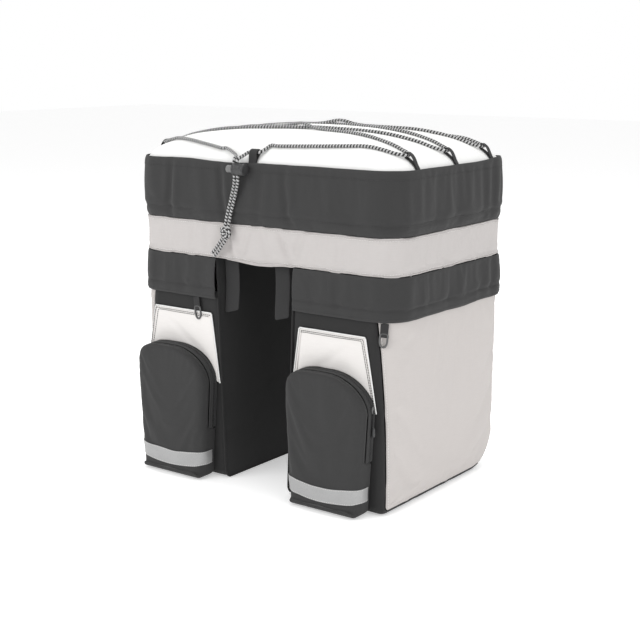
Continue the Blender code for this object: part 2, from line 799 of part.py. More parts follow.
def make_pannier(word, side):
    shift = side * GAP_SHIFT
    centre = POCKET_OFFSET + shift
    make_lower_band("lower_band_" + word, side, shift)
    make_gusset("gusset_" + word, side, shift)
    make_side_panel("side_panel_" + word, side)
    make_inner_panel("inner_panel_" + word, side, shift)
    make_pocket("pocket_" + word, side, centre)
    make_pocket_zip("pocket_zip_" + word, side, centre)
    make_reflector("reflector_" + word, side, centre)
    make_patch("front_patch_" + word, side, centre)


# Straps under the floor


def make_strap(name, middle):
    top = FLOOR_Z - SEAM_GAP
    front = -HALF_DEPTH + STRAP_SETBACK
    points = []
    for y in (front, front + STRAP_THICKNESS):
        points += [Vector((middle - STRAP_WIDTH / 2, y, top)),
                   Vector((middle + STRAP_WIDTH / 2, y, top)),
                   Vector((middle + STRAP_WIDTH / 2, y, top - STRAP_LENGTH + STRAP_SKEW)),
                   Vector((middle - STRAP_WIDTH / 2, y, top - STRAP_LENGTH))]
    faces = [[0, 1, 2, 3], [4, 7, 6, 5], [0, 4, 5, 1], [1, 5, 6, 2], [2, 6, 7, 3], [3, 7, 4, 0]]
    body(name, points, faces, "webbing")


# Flat loops and pulls: a closed band round a hole


def washer(name, outer, inner, across, paint):
    """Extrude the band between two matching outlines along a vector."""
    points = []
    for start, edge in zip(outer, inner):
        points += [start - across / 2, start + across / 2, edge + across / 2, edge - across / 2]
    count = len(outer)
    faces = []
    for index in range(count):
        after = (index + 1) % count
        for corner in range(4):
            follow = (corner + 1) % 4
            faces.append([4 * index + corner, 4 * index + follow,
                          4 * after + follow, 4 * after + corner])
    return body(name, points, faces, paint)


EYE_RADIUS = CORD_DIAMETER / 2 + EYE_CLEARANCE


def eye_height():
    return LIFT + LOOP_THICKNESS + EYE_RADIUS


def lid_section(rim, inward, along, height):
    """Point a surface distance inwards from the lid's rim, raised along the lid's normal."""
    reach = 0.0
    place_x, place_y = rim.x, rim.y
    level = LID_RIM
    while reach < along:
        place_x += inward.x * LID_STEP
        place_y += inward.y * LID_STEP
        new_level = lid_height(place_x, place_y)
        reach += math.hypot(LID_STEP, new_level - level)
        level = new_level
    normal = lid_normal(place_x, place_y)
    tilt = Vector((inward.x, inward.y, 0.0)) * normal.dot(Vector((inward.x, inward.y, 0.0)))
    normal = (tilt + Vector((0.0, 0.0, normal.z))).normalized()
    return Vector((place_x, place_y, level)) + normal * height


def loop_eye(rim, inward, length, height):
    """Middle of a loop's eye, at a height over the lid."""
    return lid_section(rim, inward, LOOP_ROOT + length - LOOP_THICKNESS - EYE_RADIUS, height)


def make_loop(name, rim, inward, length, width):
    """A webbing loop, its two layers together at the root and open round the cord."""
    tip = LOOP_ROOT + length - LOOP_THICKNESS - EYE_RADIUS
    outlines = []
    for radius, root, half in ((EYE_RADIUS + LOOP_THICKNESS, LOOP_ROOT, LOOP_THICKNESS * 1.2),
                               (EYE_RADIUS, LOOP_ROOT + length / 4, LOOP_THICKNESS * 0.3)):
        outline = []
        for angle in spread(-math.pi / 2, math.pi / 2, 6):
            outline.append((tip + radius * math.cos(angle), eye_height() + radius * math.sin(angle)))
        low = LIFT + LOOP_THICKNESS * 1.2
        for share in (0.5, 1.0):
            outline.append((mix(tip, root, share), mix(eye_height() + radius, low + half, share)))
        for share in (1.0, 0.5):
            outline.append((mix(tip, root, share), mix(eye_height() - radius, low - half, share)))
        outlines.append([lid_section(rim, inward, along, height) for along, height in outline])
    across = Vector((-inward.y, inward.x, 0.0)) * width
    washer(name, outlines[0], outlines[1], across, "webbing")


def loop_rims():
    """Rim point and inward direction of the six side loops, named by side and row."""
    reach = HALF_WIDTH - LID_INSET
    rims = {}
    for side, word in ((-1, "left"), (1, "right")):
        for row in (-1, 0, 1):
            rims[(word, row)] = (Vector((side * reach, row * LOOP_SPACING, 0.0)),
                                 Vector((-side, 0.0, 0.0)))
    return rims


def front_loop_rim():
    return (Vector((LOCK_PLACE + FRONT_LOOP_OFFSET, -HALF_DEPTH + LID_INSET, 0.0)),
            Vector((0.0, 1.0, 0.0)))


# Cord


def smooth_route(points, spacing):
    """Read a smooth curve through the route's points, at about the spacing."""
    padded = [points[0] * 2 - points[1]] + points + [points[-1] * 2 - points[-2]]
    route = [points[0]]
    for index in range(1, len(padded) - 2):
        before, start, end, after = padded[index - 1:index + 3]
        steps = max(1, round((end - start).length / spacing))
        for step in range(1, steps + 1):
            t = step / steps
            route.append(0.5 * (2 * start + (end - before) * t
                                + (2 * before - 5 * start + 4 * end - after) * t ** 2
                                + (3 * start - before - 3 * end + after) * t ** 3))
    return route


def cord(name, route, diameter, paint="cord"):
    curve = bpy.data.curves.new(name, "CURVE")
    curve.dimensions = "3D"
    curve.bevel_depth = diameter / 2
    curve.bevel_resolution = 2
    curve.render_resolution_u = 0
    curve.use_fill_caps = True
    curve.twist_mode = "MINIMUM"
    spline = curve.splines.new("POLY")
    spline.points.add(len(route) - 1)
    for target, point in zip(spline.points, route):
        target.co = (point.x, point.y, point.z, 1.0)
    return place(bpy.data.objects.new(name, curve), name, paint)


def on_lid(x, y, lift):
    height = CORD_DIAMETER / 2 + LIFT + lift * CORD_DIAMETER
    return Vector((x, y, lid_height(x, y))) + lid_normal(x, y) * height


def lock_centre():
    y = -HALF_DEPTH - UPPER_BULGE - LOCK_CLEARANCE - LOCK_RADIUS
    return Vector((LOCK_PLACE, y, TRUNK_TOP - LOCK_DROP))


# The cord's turn into a loop. Columns: inwards from the eye, past the loop's edge, share of the
# rise from the lid to the eye, the first two in cord diameters
LOOP_TURN = [
    (3.0, 1.9, 0.0),
    (1.3, 1.2, 0.4),
    (0.15, 0.5, 0.95),
]

# The cord's two ends over the trunk's front edge, each from its hole in the lock. Columns: across
# and up from the trunk's top in cord diameters, share of the way from the lock to the front wall
LACE_LEFT_END = [
    (-0.25, 1.0, 0.19),
    (-2.0, 2.0, 1.19),
]
LACE_RIGHT_END = [
    (0.5, 1.9, 0.81),
    (0.0, 1.0, 0.09),
]

# Where the left end comes down on the lid, across and inwards, and how the right end leaves the
# loop over the lock, across, outwards and down, all in cord diameters
LACE_LANDING = (-7.5, 3.5)
LOOP_EXIT = (-0.625, -0.25, -0.1)

# Direction in which the two free ends lie side by side
END_APART = Vector((0.75, 0.0, -0.66))

# Order of the loops along the cord, from its left end at the lock to its right end.
# Columns: side, row, end of the loop where the cord comes in, whether the cord crosses over
# another stretch on its way there
LACING_ORDER = [
    ("left", -1, -1, False),
    ("right", 0, -1, False),
    ("left", 1, -1, False),
    ("right", 1, 1, False),
    ("left", 0, 1, True),
    ("right", -1, 1, True),
]


def span(start, end, raised):
    """Points over the lid between two loops, bowed a little sideways."""
    points = []
    way_x, way_y = end.x - start.x, end.y - start.y
    for share, bow, lift in SPAN_POINTS:
        x = start.x + way_x * share - way_y * bow
        y = start.y + way_y * share + way_x * bow
        points.append(on_lid(x, y, lift * CROSSING_LIFT if raised else 0.0))
    return points


def loop_turn(foot, inward, along, half_width):
    """Points from the lid to a loop's eye, coming in from one edge of the loop."""
    points = []
    for inwards, past, rise in LOOP_TURN:
        place = foot + inward * inwards * CORD_DIAMETER
        place += along * (half_width + past * CORD_DIAMETER)
        lift = rise * (eye_height() - LIFT - CORD_DIAMETER / 2) / CORD_DIAMETER
        points.append(on_lid(place.x, place.y, lift))
    return points


def lace_end(hole, rows):
    """Points over the trunk's front edge, on one end of the cord."""
    points = []
    for across, up, inwards in rows:
        points.append(Vector((hole.x + across * CORD_DIAMETER, mix(hole.y, -HALF_DEPTH, inwards),
                              TRUNK_TOP + up * CORD_DIAMETER)))
    return points


def lacing_route():
    rims = loop_rims()
    top = Vector((HOLE_OFFSET, 0.0, LOCK_RADIUS + SEAM_GAP))
    left_hole = lock_centre() + top - Vector((TAIL_SPACING / 2, 0.0, 0.0))
    right_hole = lock_centre() + top + Vector((TAIL_SPACING / 2, 0.0, 0.0))
    eye = loop_eye(*front_loop_rim(), FRONT_LOOP_LENGTH, eye_height())
    front_foot = loop_eye(*front_loop_rim(), FRONT_LOOP_LENGTH, 0.0)
    half_loop = FRONT_LOOP_WIDTH / 2 + EYE_CLEARANCE
    route = [left_hole] + lace_end(left_hole, LACE_LEFT_END)
    route.append(on_lid(left_hole.x + LACE_LANDING[0] * CORD_DIAMETER,
                        -HALF_DEPTH + LACE_LANDING[1] * CORD_DIAMETER, 0.0))
    for word, row, entry, raised in LACING_ORDER:
        rim, inward = rims[(word, row)]
        centre_eye = loop_eye(rim, inward, LOOP_LENGTH, eye_height())
        foot = loop_eye(rim, inward, LOOP_LENGTH, 0.0)
        along = Vector((0.0, entry, 0.0))
        arrive = loop_turn(foot, inward, along, LOOP_WIDTH / 2)
        leave = loop_turn(foot, inward, -along, LOOP_WIDTH / 2)
        route += span(route[-1], arrive[0], raised) + arrive + [centre_eye]
        route += list(reversed(leave))
    rim, inward = front_loop_rim()
    arrive = loop_turn(front_foot, inward, Vector((1.0, 0.0, 0.0)), FRONT_LOOP_WIDTH / 2)
    edge = Vector((half_loop, 0.0, 0.0))
    route += span(route[-1], arrive[0], False) + arrive + [eye + edge / 2, eye]
    route += [eye - edge, eye - edge + Vector(LOOP_EXIT) * CORD_DIAMETER]
    return route + lace_end(right_hole, LACE_RIGHT_END) + [right_hole]


# Cord lock, tails and knot


def turned(name, profile, centre, paint, sides=16):
    """Turn a profile of (distance along X, radius) round the X axis through a centre."""
    points, faces = [], []
    for index in range(sides):
        angle = 2 * math.pi * index / sides
        for along, radius in profile:
            points.append(Vector((along, radius * math.cos(angle), radius * math.sin(angle))))
    count = len(profile)
    for index in range(sides):
        after = (index + 1) % sides
        for step in range(count - 1):
            faces.append([index * count + step, index * count + step + 1,
                          after * count + step + 1, after * count + step])
    made = body(name, points, faces, paint)
    made.location = centre + Vector((0.0, ORIGIN_SHIFT, 0.0))
    return made


def make_lock():
    centre = lock_centre()
    half = LOCK_LENGTH / 2
    bevel = LOCK_RADIUS / 6
    bore = BUTTON_RADIUS + BUTTON_CLEARANCE
    turned("cord_lock_body", [
        (-half + LOCK_BORE_DEPTH, 0.0), (-half + LOCK_BORE_DEPTH, bore), (-half, bore),
        (-half, LOCK_RADIUS - bevel), (-half + bevel, LOCK_RADIUS), (half - bevel, LOCK_RADIUS),
        (half, LOCK_RADIUS - bevel), (half, 0.0)], centre, "plastic")
    seat = -half + LOCK_BORE_DEPTH - BUTTON_TRAVEL - BUTTON_CLEARANCE
    round_off = BUTTON_RADIUS / 4
    turned("cord_lock_button", [
        (seat - BUTTON_LENGTH, 0.0), (seat - BUTTON_LENGTH, BUTTON_RADIUS - round_off),
        (seat - BUTTON_LENGTH + round_off, BUTTON_RADIUS), (seat, BUTTON_RADIUS), (seat, 0.0)],
        centre, "grey_plastic")


def tail_points(rows, side, apart):
    """Tail points of one of the two cords, which lie side by side along a direction."""
    foot = lock_centre() + Vector((HOLE_OFFSET, 0.0, -LOCK_RADIUS - SEAM_GAP))
    points = []
    for across, inwards, down in rows:
        offset = Vector((across, inwards, down)) * CORD_DIAMETER
        points.append(foot + offset + apart * side * TAIL_SPACING / 2)
    return points


def make_tails():
    for side, word in ((-1, "left"), (1, "right")):
        tail = tail_points(TAIL_ROUTE, side, Vector((1.0, 0.0, 0.0)))
        end = tail_points(END_ROUTE, side, END_APART)
        cord("cord_tail_" + word, smooth_route(tail, TAIL_STEP), CORD_DIAMETER)
        cord("cord_end_" + word, smooth_route(end, TAIL_STEP), CORD_DIAMETER)
    mesh = bpy.data.meshes.new("tail_knot")
    work = bmesh.new()
    bmesh.ops.create_uvsphere(work, u_segments=10, v_segments=6, radius=KNOT_RADIUS)
    for vert in work.verts:
        vert.co.y *= KNOT_FLATNESS
        reach = KNOT_RADIUS * KNOT_BLUNTNESS
        vert.co.z = bounded(vert.co.z, -reach, reach)
    bmesh.ops.remove_doubles(work, verts=work.verts, dist=0.00001)
    work.to_mesh(mesh)
    work.free()
    mesh.shade_smooth()
    knot = place(bpy.data.objects.new("tail_knot", mesh), "tail_knot", "cord")
    foot = lock_centre() + Vector((HOLE_OFFSET, ORIGIN_SHIFT, -LOCK_RADIUS - SEAM_GAP))
    knot.location = foot + Vector(KNOT_PLACE) * CORD_DIAMETER


def make_loops():
    for (word, row), (rim, inward) in loop_rims().items():
        make_loop("cord_loop_" + word + "_" + str(row + 2), rim, inward, LOOP_LENGTH, LOOP_WIDTH)
    rim, inward = front_loop_rim()
    make_loop("lock_loop", rim, inward, FRONT_LOOP_LENGTH, FRONT_LOOP_WIDTH)


# Zip pulls


def make_pull(name, top, down, outward, width, length, ring):
    """A ribbon tab with a ring at its end, flat against the cloth behind it."""
    down = down.normalized()
    outward = outward.normalized()
    across = down.cross(outward)
    middle = length - ring / 2
    outer, inner = [], []
    for index in range(PULL_SIDES):
        angle = 2 * math.pi * (index + 0.5) / PULL_SIDES
        side, along = math.sin(angle), -math.cos(angle)
        outer_side = math.copysign(abs(side) ** TAB_SQUARENESS, side) * width / 2
        if along < 0.0:
            outer_along = middle * (1 - abs(along) ** TAB_SQUARENESS)
        else:
            outer_along = middle + along ** RING_ROUNDNESS * ring / 2
        inner_side = side * (width / 2 - RING_BAR)
        inner_along = middle + along * (ring / 2 - RING_BAR)
        base = top + outward * (PULL_THICKNESS / 2)
        outer.append(base + across * outer_side + down * outer_along)
        inner.append(base + across * inner_side + down * inner_along)
    washer(name, outer, inner, outward * PULL_THICKNESS, "webbing")


def make_pulls():
    length = PULL_LENGTH + RING_LENGTH
    swell = UPPER_BULGE * math.sin(math.pi * TRUNK_PULL_SHARE)
    make_pull("trunk_pull",
              Vector((-HALF_WIDTH - swell - PULL_CLEARANCE, TRUNK_PULL_PLACE,
                      MIDDLE_TOP + TRUNK_PULL_SHARE * UPPER_BAND_HEIGHT)),
              Vector((0.0, 0.0, -1.0)), Vector((-1.0, 0.0, 0.0)), PULL_WIDTH, length, RING_LENGTH)
    hem = PANNIER_DROP - SEAM_GAP
    make_pull("pannier_pull_left",
              Vector((LEFT_PULL_INSET - HALF_WIDTH,
                      FRONT_PLANE - PATCH_THICKNESS - PULL_CLEARANCE, hem)),
              Vector((LEFT_PULL_LEAN, 0.0, -1.0)), Vector((0.0, -1.0, 0.0)),
              PULL_WIDTH, length, RING_LENGTH)
    level = hem - length / 2
    angle = math.radians(RIGHT_PULL_ANGLE)
    corner = pannier_point(PANNIER_TOP - level, angle, -PULL_CLEARANCE * 2)
    outward = Vector((math.sin(angle), -math.cos(angle), 0.0))
    make_pull("pannier_pull_right", Vector((corner.x, corner.y, hem)),
              Vector((RIGHT_PULL_LEAN, RIGHT_PULL_LEAN, -1.0)), outward, PULL_WIDTH, length, RING_LENGTH)
    for side, word in ((-1, "left"), (1, "right")):
        wall = side * (POCKET_OFFSET + POCKET_HALF_WIDTH + PULL_CLEARANCE) + GAP_SHIFT
        make_pull("pocket_pull_" + word,
                  Vector((wall, FRONT_PLANE - ZIP_BAND_WIDTH / 2, POCKET_SPRING + POCKET_PULL_RISE)),
                  Vector((0.0, 0.0, -1.0)), Vector((side, 0.0, 0.0)),
                  POCKET_PULL_WIDTH, POCKET_PULL_LENGTH, RING_LENGTH * 0.7)


def main():
    clear_scene()
    make_trunk()
    for word, side in (("left", -1), ("right", 1)):
        make_pannier(word, side)
    make_strap("strap_left", STRAP_LEFT_PLACE)
    make_strap("strap_right", STRAP_RIGHT_PLACE)
    make_loops()
    cord("lacing_cord", smooth_route(lacing_route(), LACING_STEP), CORD_DIAMETER)
    make_lock()
    make_tails()
    make_pulls()


main()
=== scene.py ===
# Looks of the rear rack bag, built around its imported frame. Metres, +Z up, front towards -Y.
import math

import bmesh
import bpy
import numpy as np
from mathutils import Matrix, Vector
from mathutils.bvhtree import BVHTree


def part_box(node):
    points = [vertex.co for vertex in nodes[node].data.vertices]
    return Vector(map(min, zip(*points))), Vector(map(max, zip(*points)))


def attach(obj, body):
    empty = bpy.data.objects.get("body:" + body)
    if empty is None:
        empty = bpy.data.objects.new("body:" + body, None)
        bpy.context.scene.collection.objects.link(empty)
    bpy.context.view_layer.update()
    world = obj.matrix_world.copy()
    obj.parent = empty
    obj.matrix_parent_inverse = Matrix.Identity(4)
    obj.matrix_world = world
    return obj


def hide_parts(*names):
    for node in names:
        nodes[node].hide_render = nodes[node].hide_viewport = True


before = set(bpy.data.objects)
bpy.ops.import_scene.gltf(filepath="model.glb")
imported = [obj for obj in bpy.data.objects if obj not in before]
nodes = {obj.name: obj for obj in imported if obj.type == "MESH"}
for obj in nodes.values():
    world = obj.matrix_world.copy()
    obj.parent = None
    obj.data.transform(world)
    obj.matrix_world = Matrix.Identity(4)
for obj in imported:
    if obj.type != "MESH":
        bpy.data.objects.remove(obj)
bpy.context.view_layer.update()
scene = bpy.context.scene
print("frame loaded:", len(nodes), "nodes")

# Main sizes of the bag. Its own middle lies on x = 0, y = 0, and shift moves it onto the frame
bag = {
    "width": 0.400, "depth": 0.262, "corner": 0.037, "shift": 0.0151,
    "hemLevel": 0.232, "floorLevel": 0.284, "greyTop": 0.328, "top": 0.404,
    "lidRim": 0.399, "lidInset": 0.0025, "crown": 0.041, "lidPower": 2.6, "lidRounding": 0.58,
    "gapTop": 0.120, "gapBottom": 0.098, "gapShift": -0.005, "cloth": 0.0016,
}
halfWidth = bag["width"] / 2
halfDepth = bag["depth"] / 2
frontPlane = -halfDepth + 0.0015


# Camera, light and floor

view = {"place": (0.96453, -1.2945, 0.5363), "pitch": 0.209, "turn": 0.6358,
    "lens": 71.96, "sensor": 36.0}
cameraData = bpy.data.cameras.new("viewCamera")
cameraData.lens = view["lens"]
cameraData.sensor_width = view["sensor"]
cameraData.clip_start = 0.05
camera = bpy.data.objects.new("viewCamera", cameraData)
camera.location = view["place"]
camera.rotation_euler = (math.pi / 2 - view["pitch"], 0.0, view["turn"])
scene.collection.objects.link(camera)
scene.camera = camera

# Columns: name, place, aimed at, width, height, power in watts
lamps = [
    ("frontSoftbox", (-0.9, -2.1, 1.5), (0.0, 0.0, 0.2), 1.6, 1.4, 23.0),
    ("sideSoftbox", (2.3, -0.5, 1.1), (0.0, 0.0, 0.2), 1.6, 1.4, 14.0),
    ("topSoftbox", (0.0, 0.2, 2.2), (0.0, 0.0, 0.3), 1.8, 1.8, 20.0),
    ("backSoftbox", (-1.2, 2.0, 1.6), (0.0, 0.0, 0.2), 1.4, 1.4, 11.0),
]


def makeLamp(name, place, aim, width, height, power):
    data = bpy.data.lights.new(name, "AREA")
    data.shape = "RECTANGLE"
    data.size = width
    data.size_y = height
    data.energy = power
    lamp = bpy.data.objects.new(name, data)
    lamp.location = place
    lamp.rotation_euler = (Vector(aim) - Vector(place)).to_track_quat("-Z", "Y").to_euler()
    scene.collection.objects.link(lamp)


for lamp in lamps:
    makeLamp(*lamp)

scene.view_settings.view_transform = "Standard"


# Node helpers

def feed(tree, node, inputs):
    # A socket given here is linked, and any other value is set on the node's own socket
    for key, value in inputs.items():
        if isinstance(value, bpy.types.NodeSocket):
            tree.links.new(value, node.inputs[key])
        else:
            node.inputs[key].default_value = value


def addNode(tree, kind, inputs=None, **settings):
    found = tree.nodes.new(kind)
    for name, value in settings.items():
        setattr(found, name, value)
    feed(tree, found, inputs or {})
    return found


def maths(tree, operation, *values):
    return addNode(tree, "ShaderNodeMath", dict(enumerate(values)), operation=operation).outputs[0]


def newGroup(name, inputs, outputs):
    # An input without a value is a vector, and one with four numbers a colour
    group = bpy.data.node_groups.new(name, "ShaderNodeTree")
    for label, value in inputs.items():
        kind = "Vector" if value is None else "Color" if isinstance(value, tuple) else "Float"
        socket = group.interface.new_socket(name=label, in_out="INPUT",
            socket_type="NodeSocket" + kind)
        if value is not None:
            socket.default_value = value
    for label in outputs:
        kind = "NodeSocketColor" if label == "Color" else "NodeSocketFloat"
        group.interface.new_socket(name=label, in_out="OUTPUT", socket_type=kind)
    return group, group.nodes.new("NodeGroupInput"), group.nodes.new("NodeGroupOutput")


def makeWeaveGroup():
    # Over and under threads of a plain weave on a UV map in metres
    group, given, result = newGroup("weaveRelief", {"Vector": None, "Pitch along": 0.0008,
        "Pitch across": 0.0008, "Slub": 0.3}, ["Height", "Tint"])
    parts = addNode(group, "ShaderNodeSeparateXYZ", {0: given.outputs["Vector"]})
    along = maths(group, "DIVIDE", parts.outputs[0], given.outputs["Pitch along"])
    across = maths(group, "DIVIDE", parts.outputs[1], given.outputs["Pitch across"])
    warp = maths(group, "SINE", maths(group, "MULTIPLY", along, math.pi))
    weft = maths(group, "SINE", maths(group, "MULTIPLY", across, math.pi))
    height = maths(group, "MULTIPLY_ADD", maths(group, "MULTIPLY", warp, weft), 0.5, 0.5)
    stretched = addNode(group, "ShaderNodeVectorMath", {0: given.outputs["Vector"],
        1: (60.0, 900.0, 1.0)}, operation="MULTIPLY")
    slubs = addNode(group, "ShaderNodeTexNoise", {"Vector": stretched.outputs[0], "Scale": 1.0,
        "Detail": 2.0})
    uneven = maths(group, "MULTIPLY", slubs.outputs["Fac"], given.outputs["Slub"])
    # The tint is lighter on the threads' tops and darker where they dip under each other, painted
    # shade in the weave's hollows; the slubs add the yarn's own uneven tone
    feed(group, result, {"Height": maths(group, "ADD", height, uneven),
        "Tint": maths(group, "MULTIPLY_ADD", height, 0.3, uneven)})
    return group


def makeAgeAndSeamShadeGroup():
    # Uneven dye, soft crumple and painted seam shading: seams turn paler on dark cloth (a painted
    # highlight) and darker on pale cloth (painted shade), by the sign of the seam tint
    group, given, result = newGroup("clothAgeAndSeamShade", {"Vector": None, "Color": (0.5, 0.5, 0.5, 1.0),
        "Mottle": 0.08, "Seam": 0.0, "Seam shade tint": 0.12, "Dust": 0.02, "Crease scale": 18.0},
        ["Color", "Crumple", "Roughness"])
    broad = addNode(group, "ShaderNodeTexNoise", {"Vector": given.outputs["Vector"], "Scale": 9.0,
        "Detail": 3.0})
    fine = addNode(group, "ShaderNodeTexNoise", {"Vector": given.outputs["Vector"], "Scale": 420.0,
        "Detail": 2.0})
    crumple = addNode(group, "ShaderNodeTexNoise",
        {"Vector": given.outputs["Vector"], "Scale": given.outputs["Crease scale"],
        "Detail": 3.0, "Roughness": 0.45, "Distortion": 0.6})
    spread = maths(group, "SUBTRACT", broad.outputs["Fac"], 0.5)
    grain = maths(group, "MULTIPLY", maths(group, "SUBTRACT", fine.outputs["Fac"], 0.5), 0.5)
    shade = maths(group, "MULTIPLY", maths(group, "ADD", spread, grain), given.outputs["Mottle"])
    # Painted seam shading: the seam weight times the seam tint lightens or darkens the colour along
    # seams
    seamShading = maths(group, "MULTIPLY", given.outputs["Seam"], given.outputs["Seam shade tint"])
    level = maths(group, "ADD", maths(group, "MULTIPLY_ADD", shade, 2.0, 1.0), seamShading)
    toned = addNode(group, "ShaderNodeVectorMath", {0: given.outputs["Color"], "Scale": level},
        operation="SCALE")
    dusty = addNode(group, "ShaderNodeMix", {"Factor": given.outputs["Dust"], "A": toned.outputs[0],
        "B": (0.62, 0.60, 0.57, 1.0)}, data_type="RGBA")
    feed(group, result, {"Color": dusty.outputs["Result"], "Crumple": crumple.outputs["Fac"],
        "Roughness": maths(group, "MULTIPLY_ADD", spread, 0.16, 0.86)})
    return group


def makeBraidGroup():
    # Pale yarns wound through a dark braid. U runs once round the cord, V along it
    group, given, result = newGroup("braidFlecks", {"Vector": None, "Pale": (0.7, 0.7, 0.7, 1.0),
        "Dark": (0.02, 0.02, 0.02, 1.0), "Share": 0.5}, ["Color", "Height"])
    parts = addNode(group, "ShaderNodeSeparateXYZ", {0: given.outputs["Vector"]})
    turns = {}
    for label, slope in (("right", 1.0), ("left", -1.0)):
        wound = maths(group, "MULTIPLY_ADD", parts.outputs[0], 1.0,
            maths(group, "MULTIPLY", parts.outputs[1], slope))
        turns[label] = maths(group, "FRACT", wound)
    strands = {}
    for label, slope in (("right", 1.0), ("left", -1.0)):
        wound = maths(group, "MULTIPLY_ADD", parts.outputs[0], 8.0,
            maths(group, "MULTIPLY", parts.outputs[1], 4.0 * slope))
        strands[label] = maths(group, "SINE", maths(group, "MULTIPLY", wound, 2 * math.pi))
    fleck = maths(group, "LESS_THAN", turns["right"], given.outputs["Share"])
    broken = maths(group, "GREATER_THAN", strands["left"], -0.75)
    mask = maths(group, "MULTIPLY", fleck, broken)
    blend = addNode(group, "ShaderNodeMix", {"Factor": mask, "A": given.outputs["Dark"],
        "B": given.outputs["Pale"]}, data_type="RGBA")
    relief = maths(group, "MAXIMUM", strands["left"], strands["right"])
    feed(group, result, {"Color": blend.outputs["Result"], "Height": relief})
    return group


def makeGrainGroup():
    # Fine moulding grain with rubbed high spots
    group, given, result = newGroup("mouldGrain", {"Vector": None,
        "Color": (0.1, 0.1, 0.1, 1.0), "Wear": 0.15}, ["Color", "Height", "Roughness"])
    grain = addNode(group, "ShaderNodeTexNoise", {"Vector": given.outputs["Vector"],
        "Scale": 1800.0, "Detail": 2.0})
    patches = addNode(group, "ShaderNodeTexNoise", {"Vector": given.outputs["Vector"],
        "Scale": 160.0, "Detail": 3.0})
    wear = maths(group, "MULTIPLY", patches.outputs["Fac"], given.outputs["Wear"])
    mixed = addNode(group, "ShaderNodeMix", {"Factor": wear, "A": given.outputs["Color"],
        "B": (0.4, 0.4, 0.4, 1.0)}, data_type="RGBA")
    feed(group, result, {"Color": mixed.outputs["Result"], "Height": grain.outputs["Fac"],
        "Roughness": maths(group, "MULTIPLY_ADD", patches.outputs["Fac"], 0.25, 0.3)})
    return group


def makeWorld(fill, backdrop):
    # The backdrop shows white, while the fill light it gives is a little weaker
    world = bpy.data.worlds.new("paleStudio")
    scene.world = world
    world.use_nodes = True
    tree = world.node_tree
    shown = addNode(tree, "ShaderNodeLightPath").outputs["Is Camera Ray"]
    level = maths(tree, "MULTIPLY_ADD", shown, backdrop - fill, fill)
    tree.nodes["Background"].inputs["Color"].default_value = (1.0, 1.0, 1.0, 1.0)
    tree.links.new(level, tree.nodes["Background"].inputs["Strength"])


makeWorld(fill=0.62, backdrop=1.0)
weaveRelief = makeWeaveGroup()
clothAgeAndSeamShade = makeAgeAndSeamShadeGroup()
braidFlecks = makeBraidGroup()
mouldGrain = makeGrainGroup()


def startMaterial(name):
    made = bpy.data.materials.new(name)
    made.use_nodes = True
    tree = made.node_tree
    return made, tree, tree.nodes["Principled BSDF"]


def clothMaterial(name, colour, values):
    # values: pitch, weave, crumple, mottle, the seam tint that paints highlight or shade along
    # seams, dust, sheen, creaseScale
    made, tree, shader = startMaterial(name)
    place = addNode(tree, "ShaderNodeTexCoord")
    seam = addNode(tree, "ShaderNodeAttribute", attribute_name="seamShade")
    weave = addNode(tree, "ShaderNodeGroup", node_tree=weaveRelief)
    feed(tree, weave, {"Vector": place.outputs["UV"], "Pitch along": values["pitch"],
        "Pitch across": values.get("pitchAcross", values["pitch"])})
    ageAndSeamShade = addNode(tree, "ShaderNodeGroup", node_tree=clothAgeAndSeamShade)
    feed(tree, ageAndSeamShade, {"Vector": place.outputs["Object"], "Seam": seam.outputs["Fac"],
        "Color": (*colour, 1.0), "Mottle": values["mottle"], "Seam shade tint": values["seamShadeTint"],
        "Dust": values["dust"], "Crease scale": values["creaseScale"]})
    # The weave tint scales the colour: painted shade in the hollows between threads, and the slubs'
    # real unevenness
    tint = maths(tree, "MULTIPLY_ADD", weave.outputs["Tint"], 0.22, 0.89)
    threads = addNode(tree, "ShaderNodeVectorMath", {0: ageAndSeamShade.outputs["Color"], "Scale": tint},
        operation="SCALE")
    folds = addNode(tree, "ShaderNodeBump", {"Height": ageAndSeamShade.outputs["Crumple"], "Strength": 1.0,
        "Distance": values["crumple"]})
    threadBump = addNode(tree, "ShaderNodeBump", {"Height": weave.outputs["Height"],
        "Strength": 0.6,
        "Distance": values["weave"],
        "Normal": folds.outputs["Normal"]})
    feed(tree, shader, {"Base Color": threads.outputs[0], "Roughness": ageAndSeamShade.outputs["Roughness"],
        "Normal": threadBump.outputs["Normal"], "Sheen Weight": values["sheen"],
        "Sheen Roughness": 0.5, "Specular IOR Level": 0.25})
    return made


# The seam tint paints a highlight along the seams of dark cloth, and paleWeave's negative seam tint
# paints shade along the seams of pale cloth
plainWeave = {"pitch": 0.0009, "weave": 0.00010, "crumple": 0.0012, "mottle": 0.05,
    "seamShadeTint": 0.10, "dust": 0.010, "sheen": 0.06, "creaseScale": 16.0}
paleWeave = dict(plainWeave, mottle=0.018, seamShadeTint=-0.10, dust=0.0, sheen=0.03, crumple=0.0010)
ribbed = dict(plainWeave, pitch=0.0016, pitchAcross=0.0009, weave=0.00025, crumple=0.0002,
    seamShadeTint=0.0, dust=0.015)

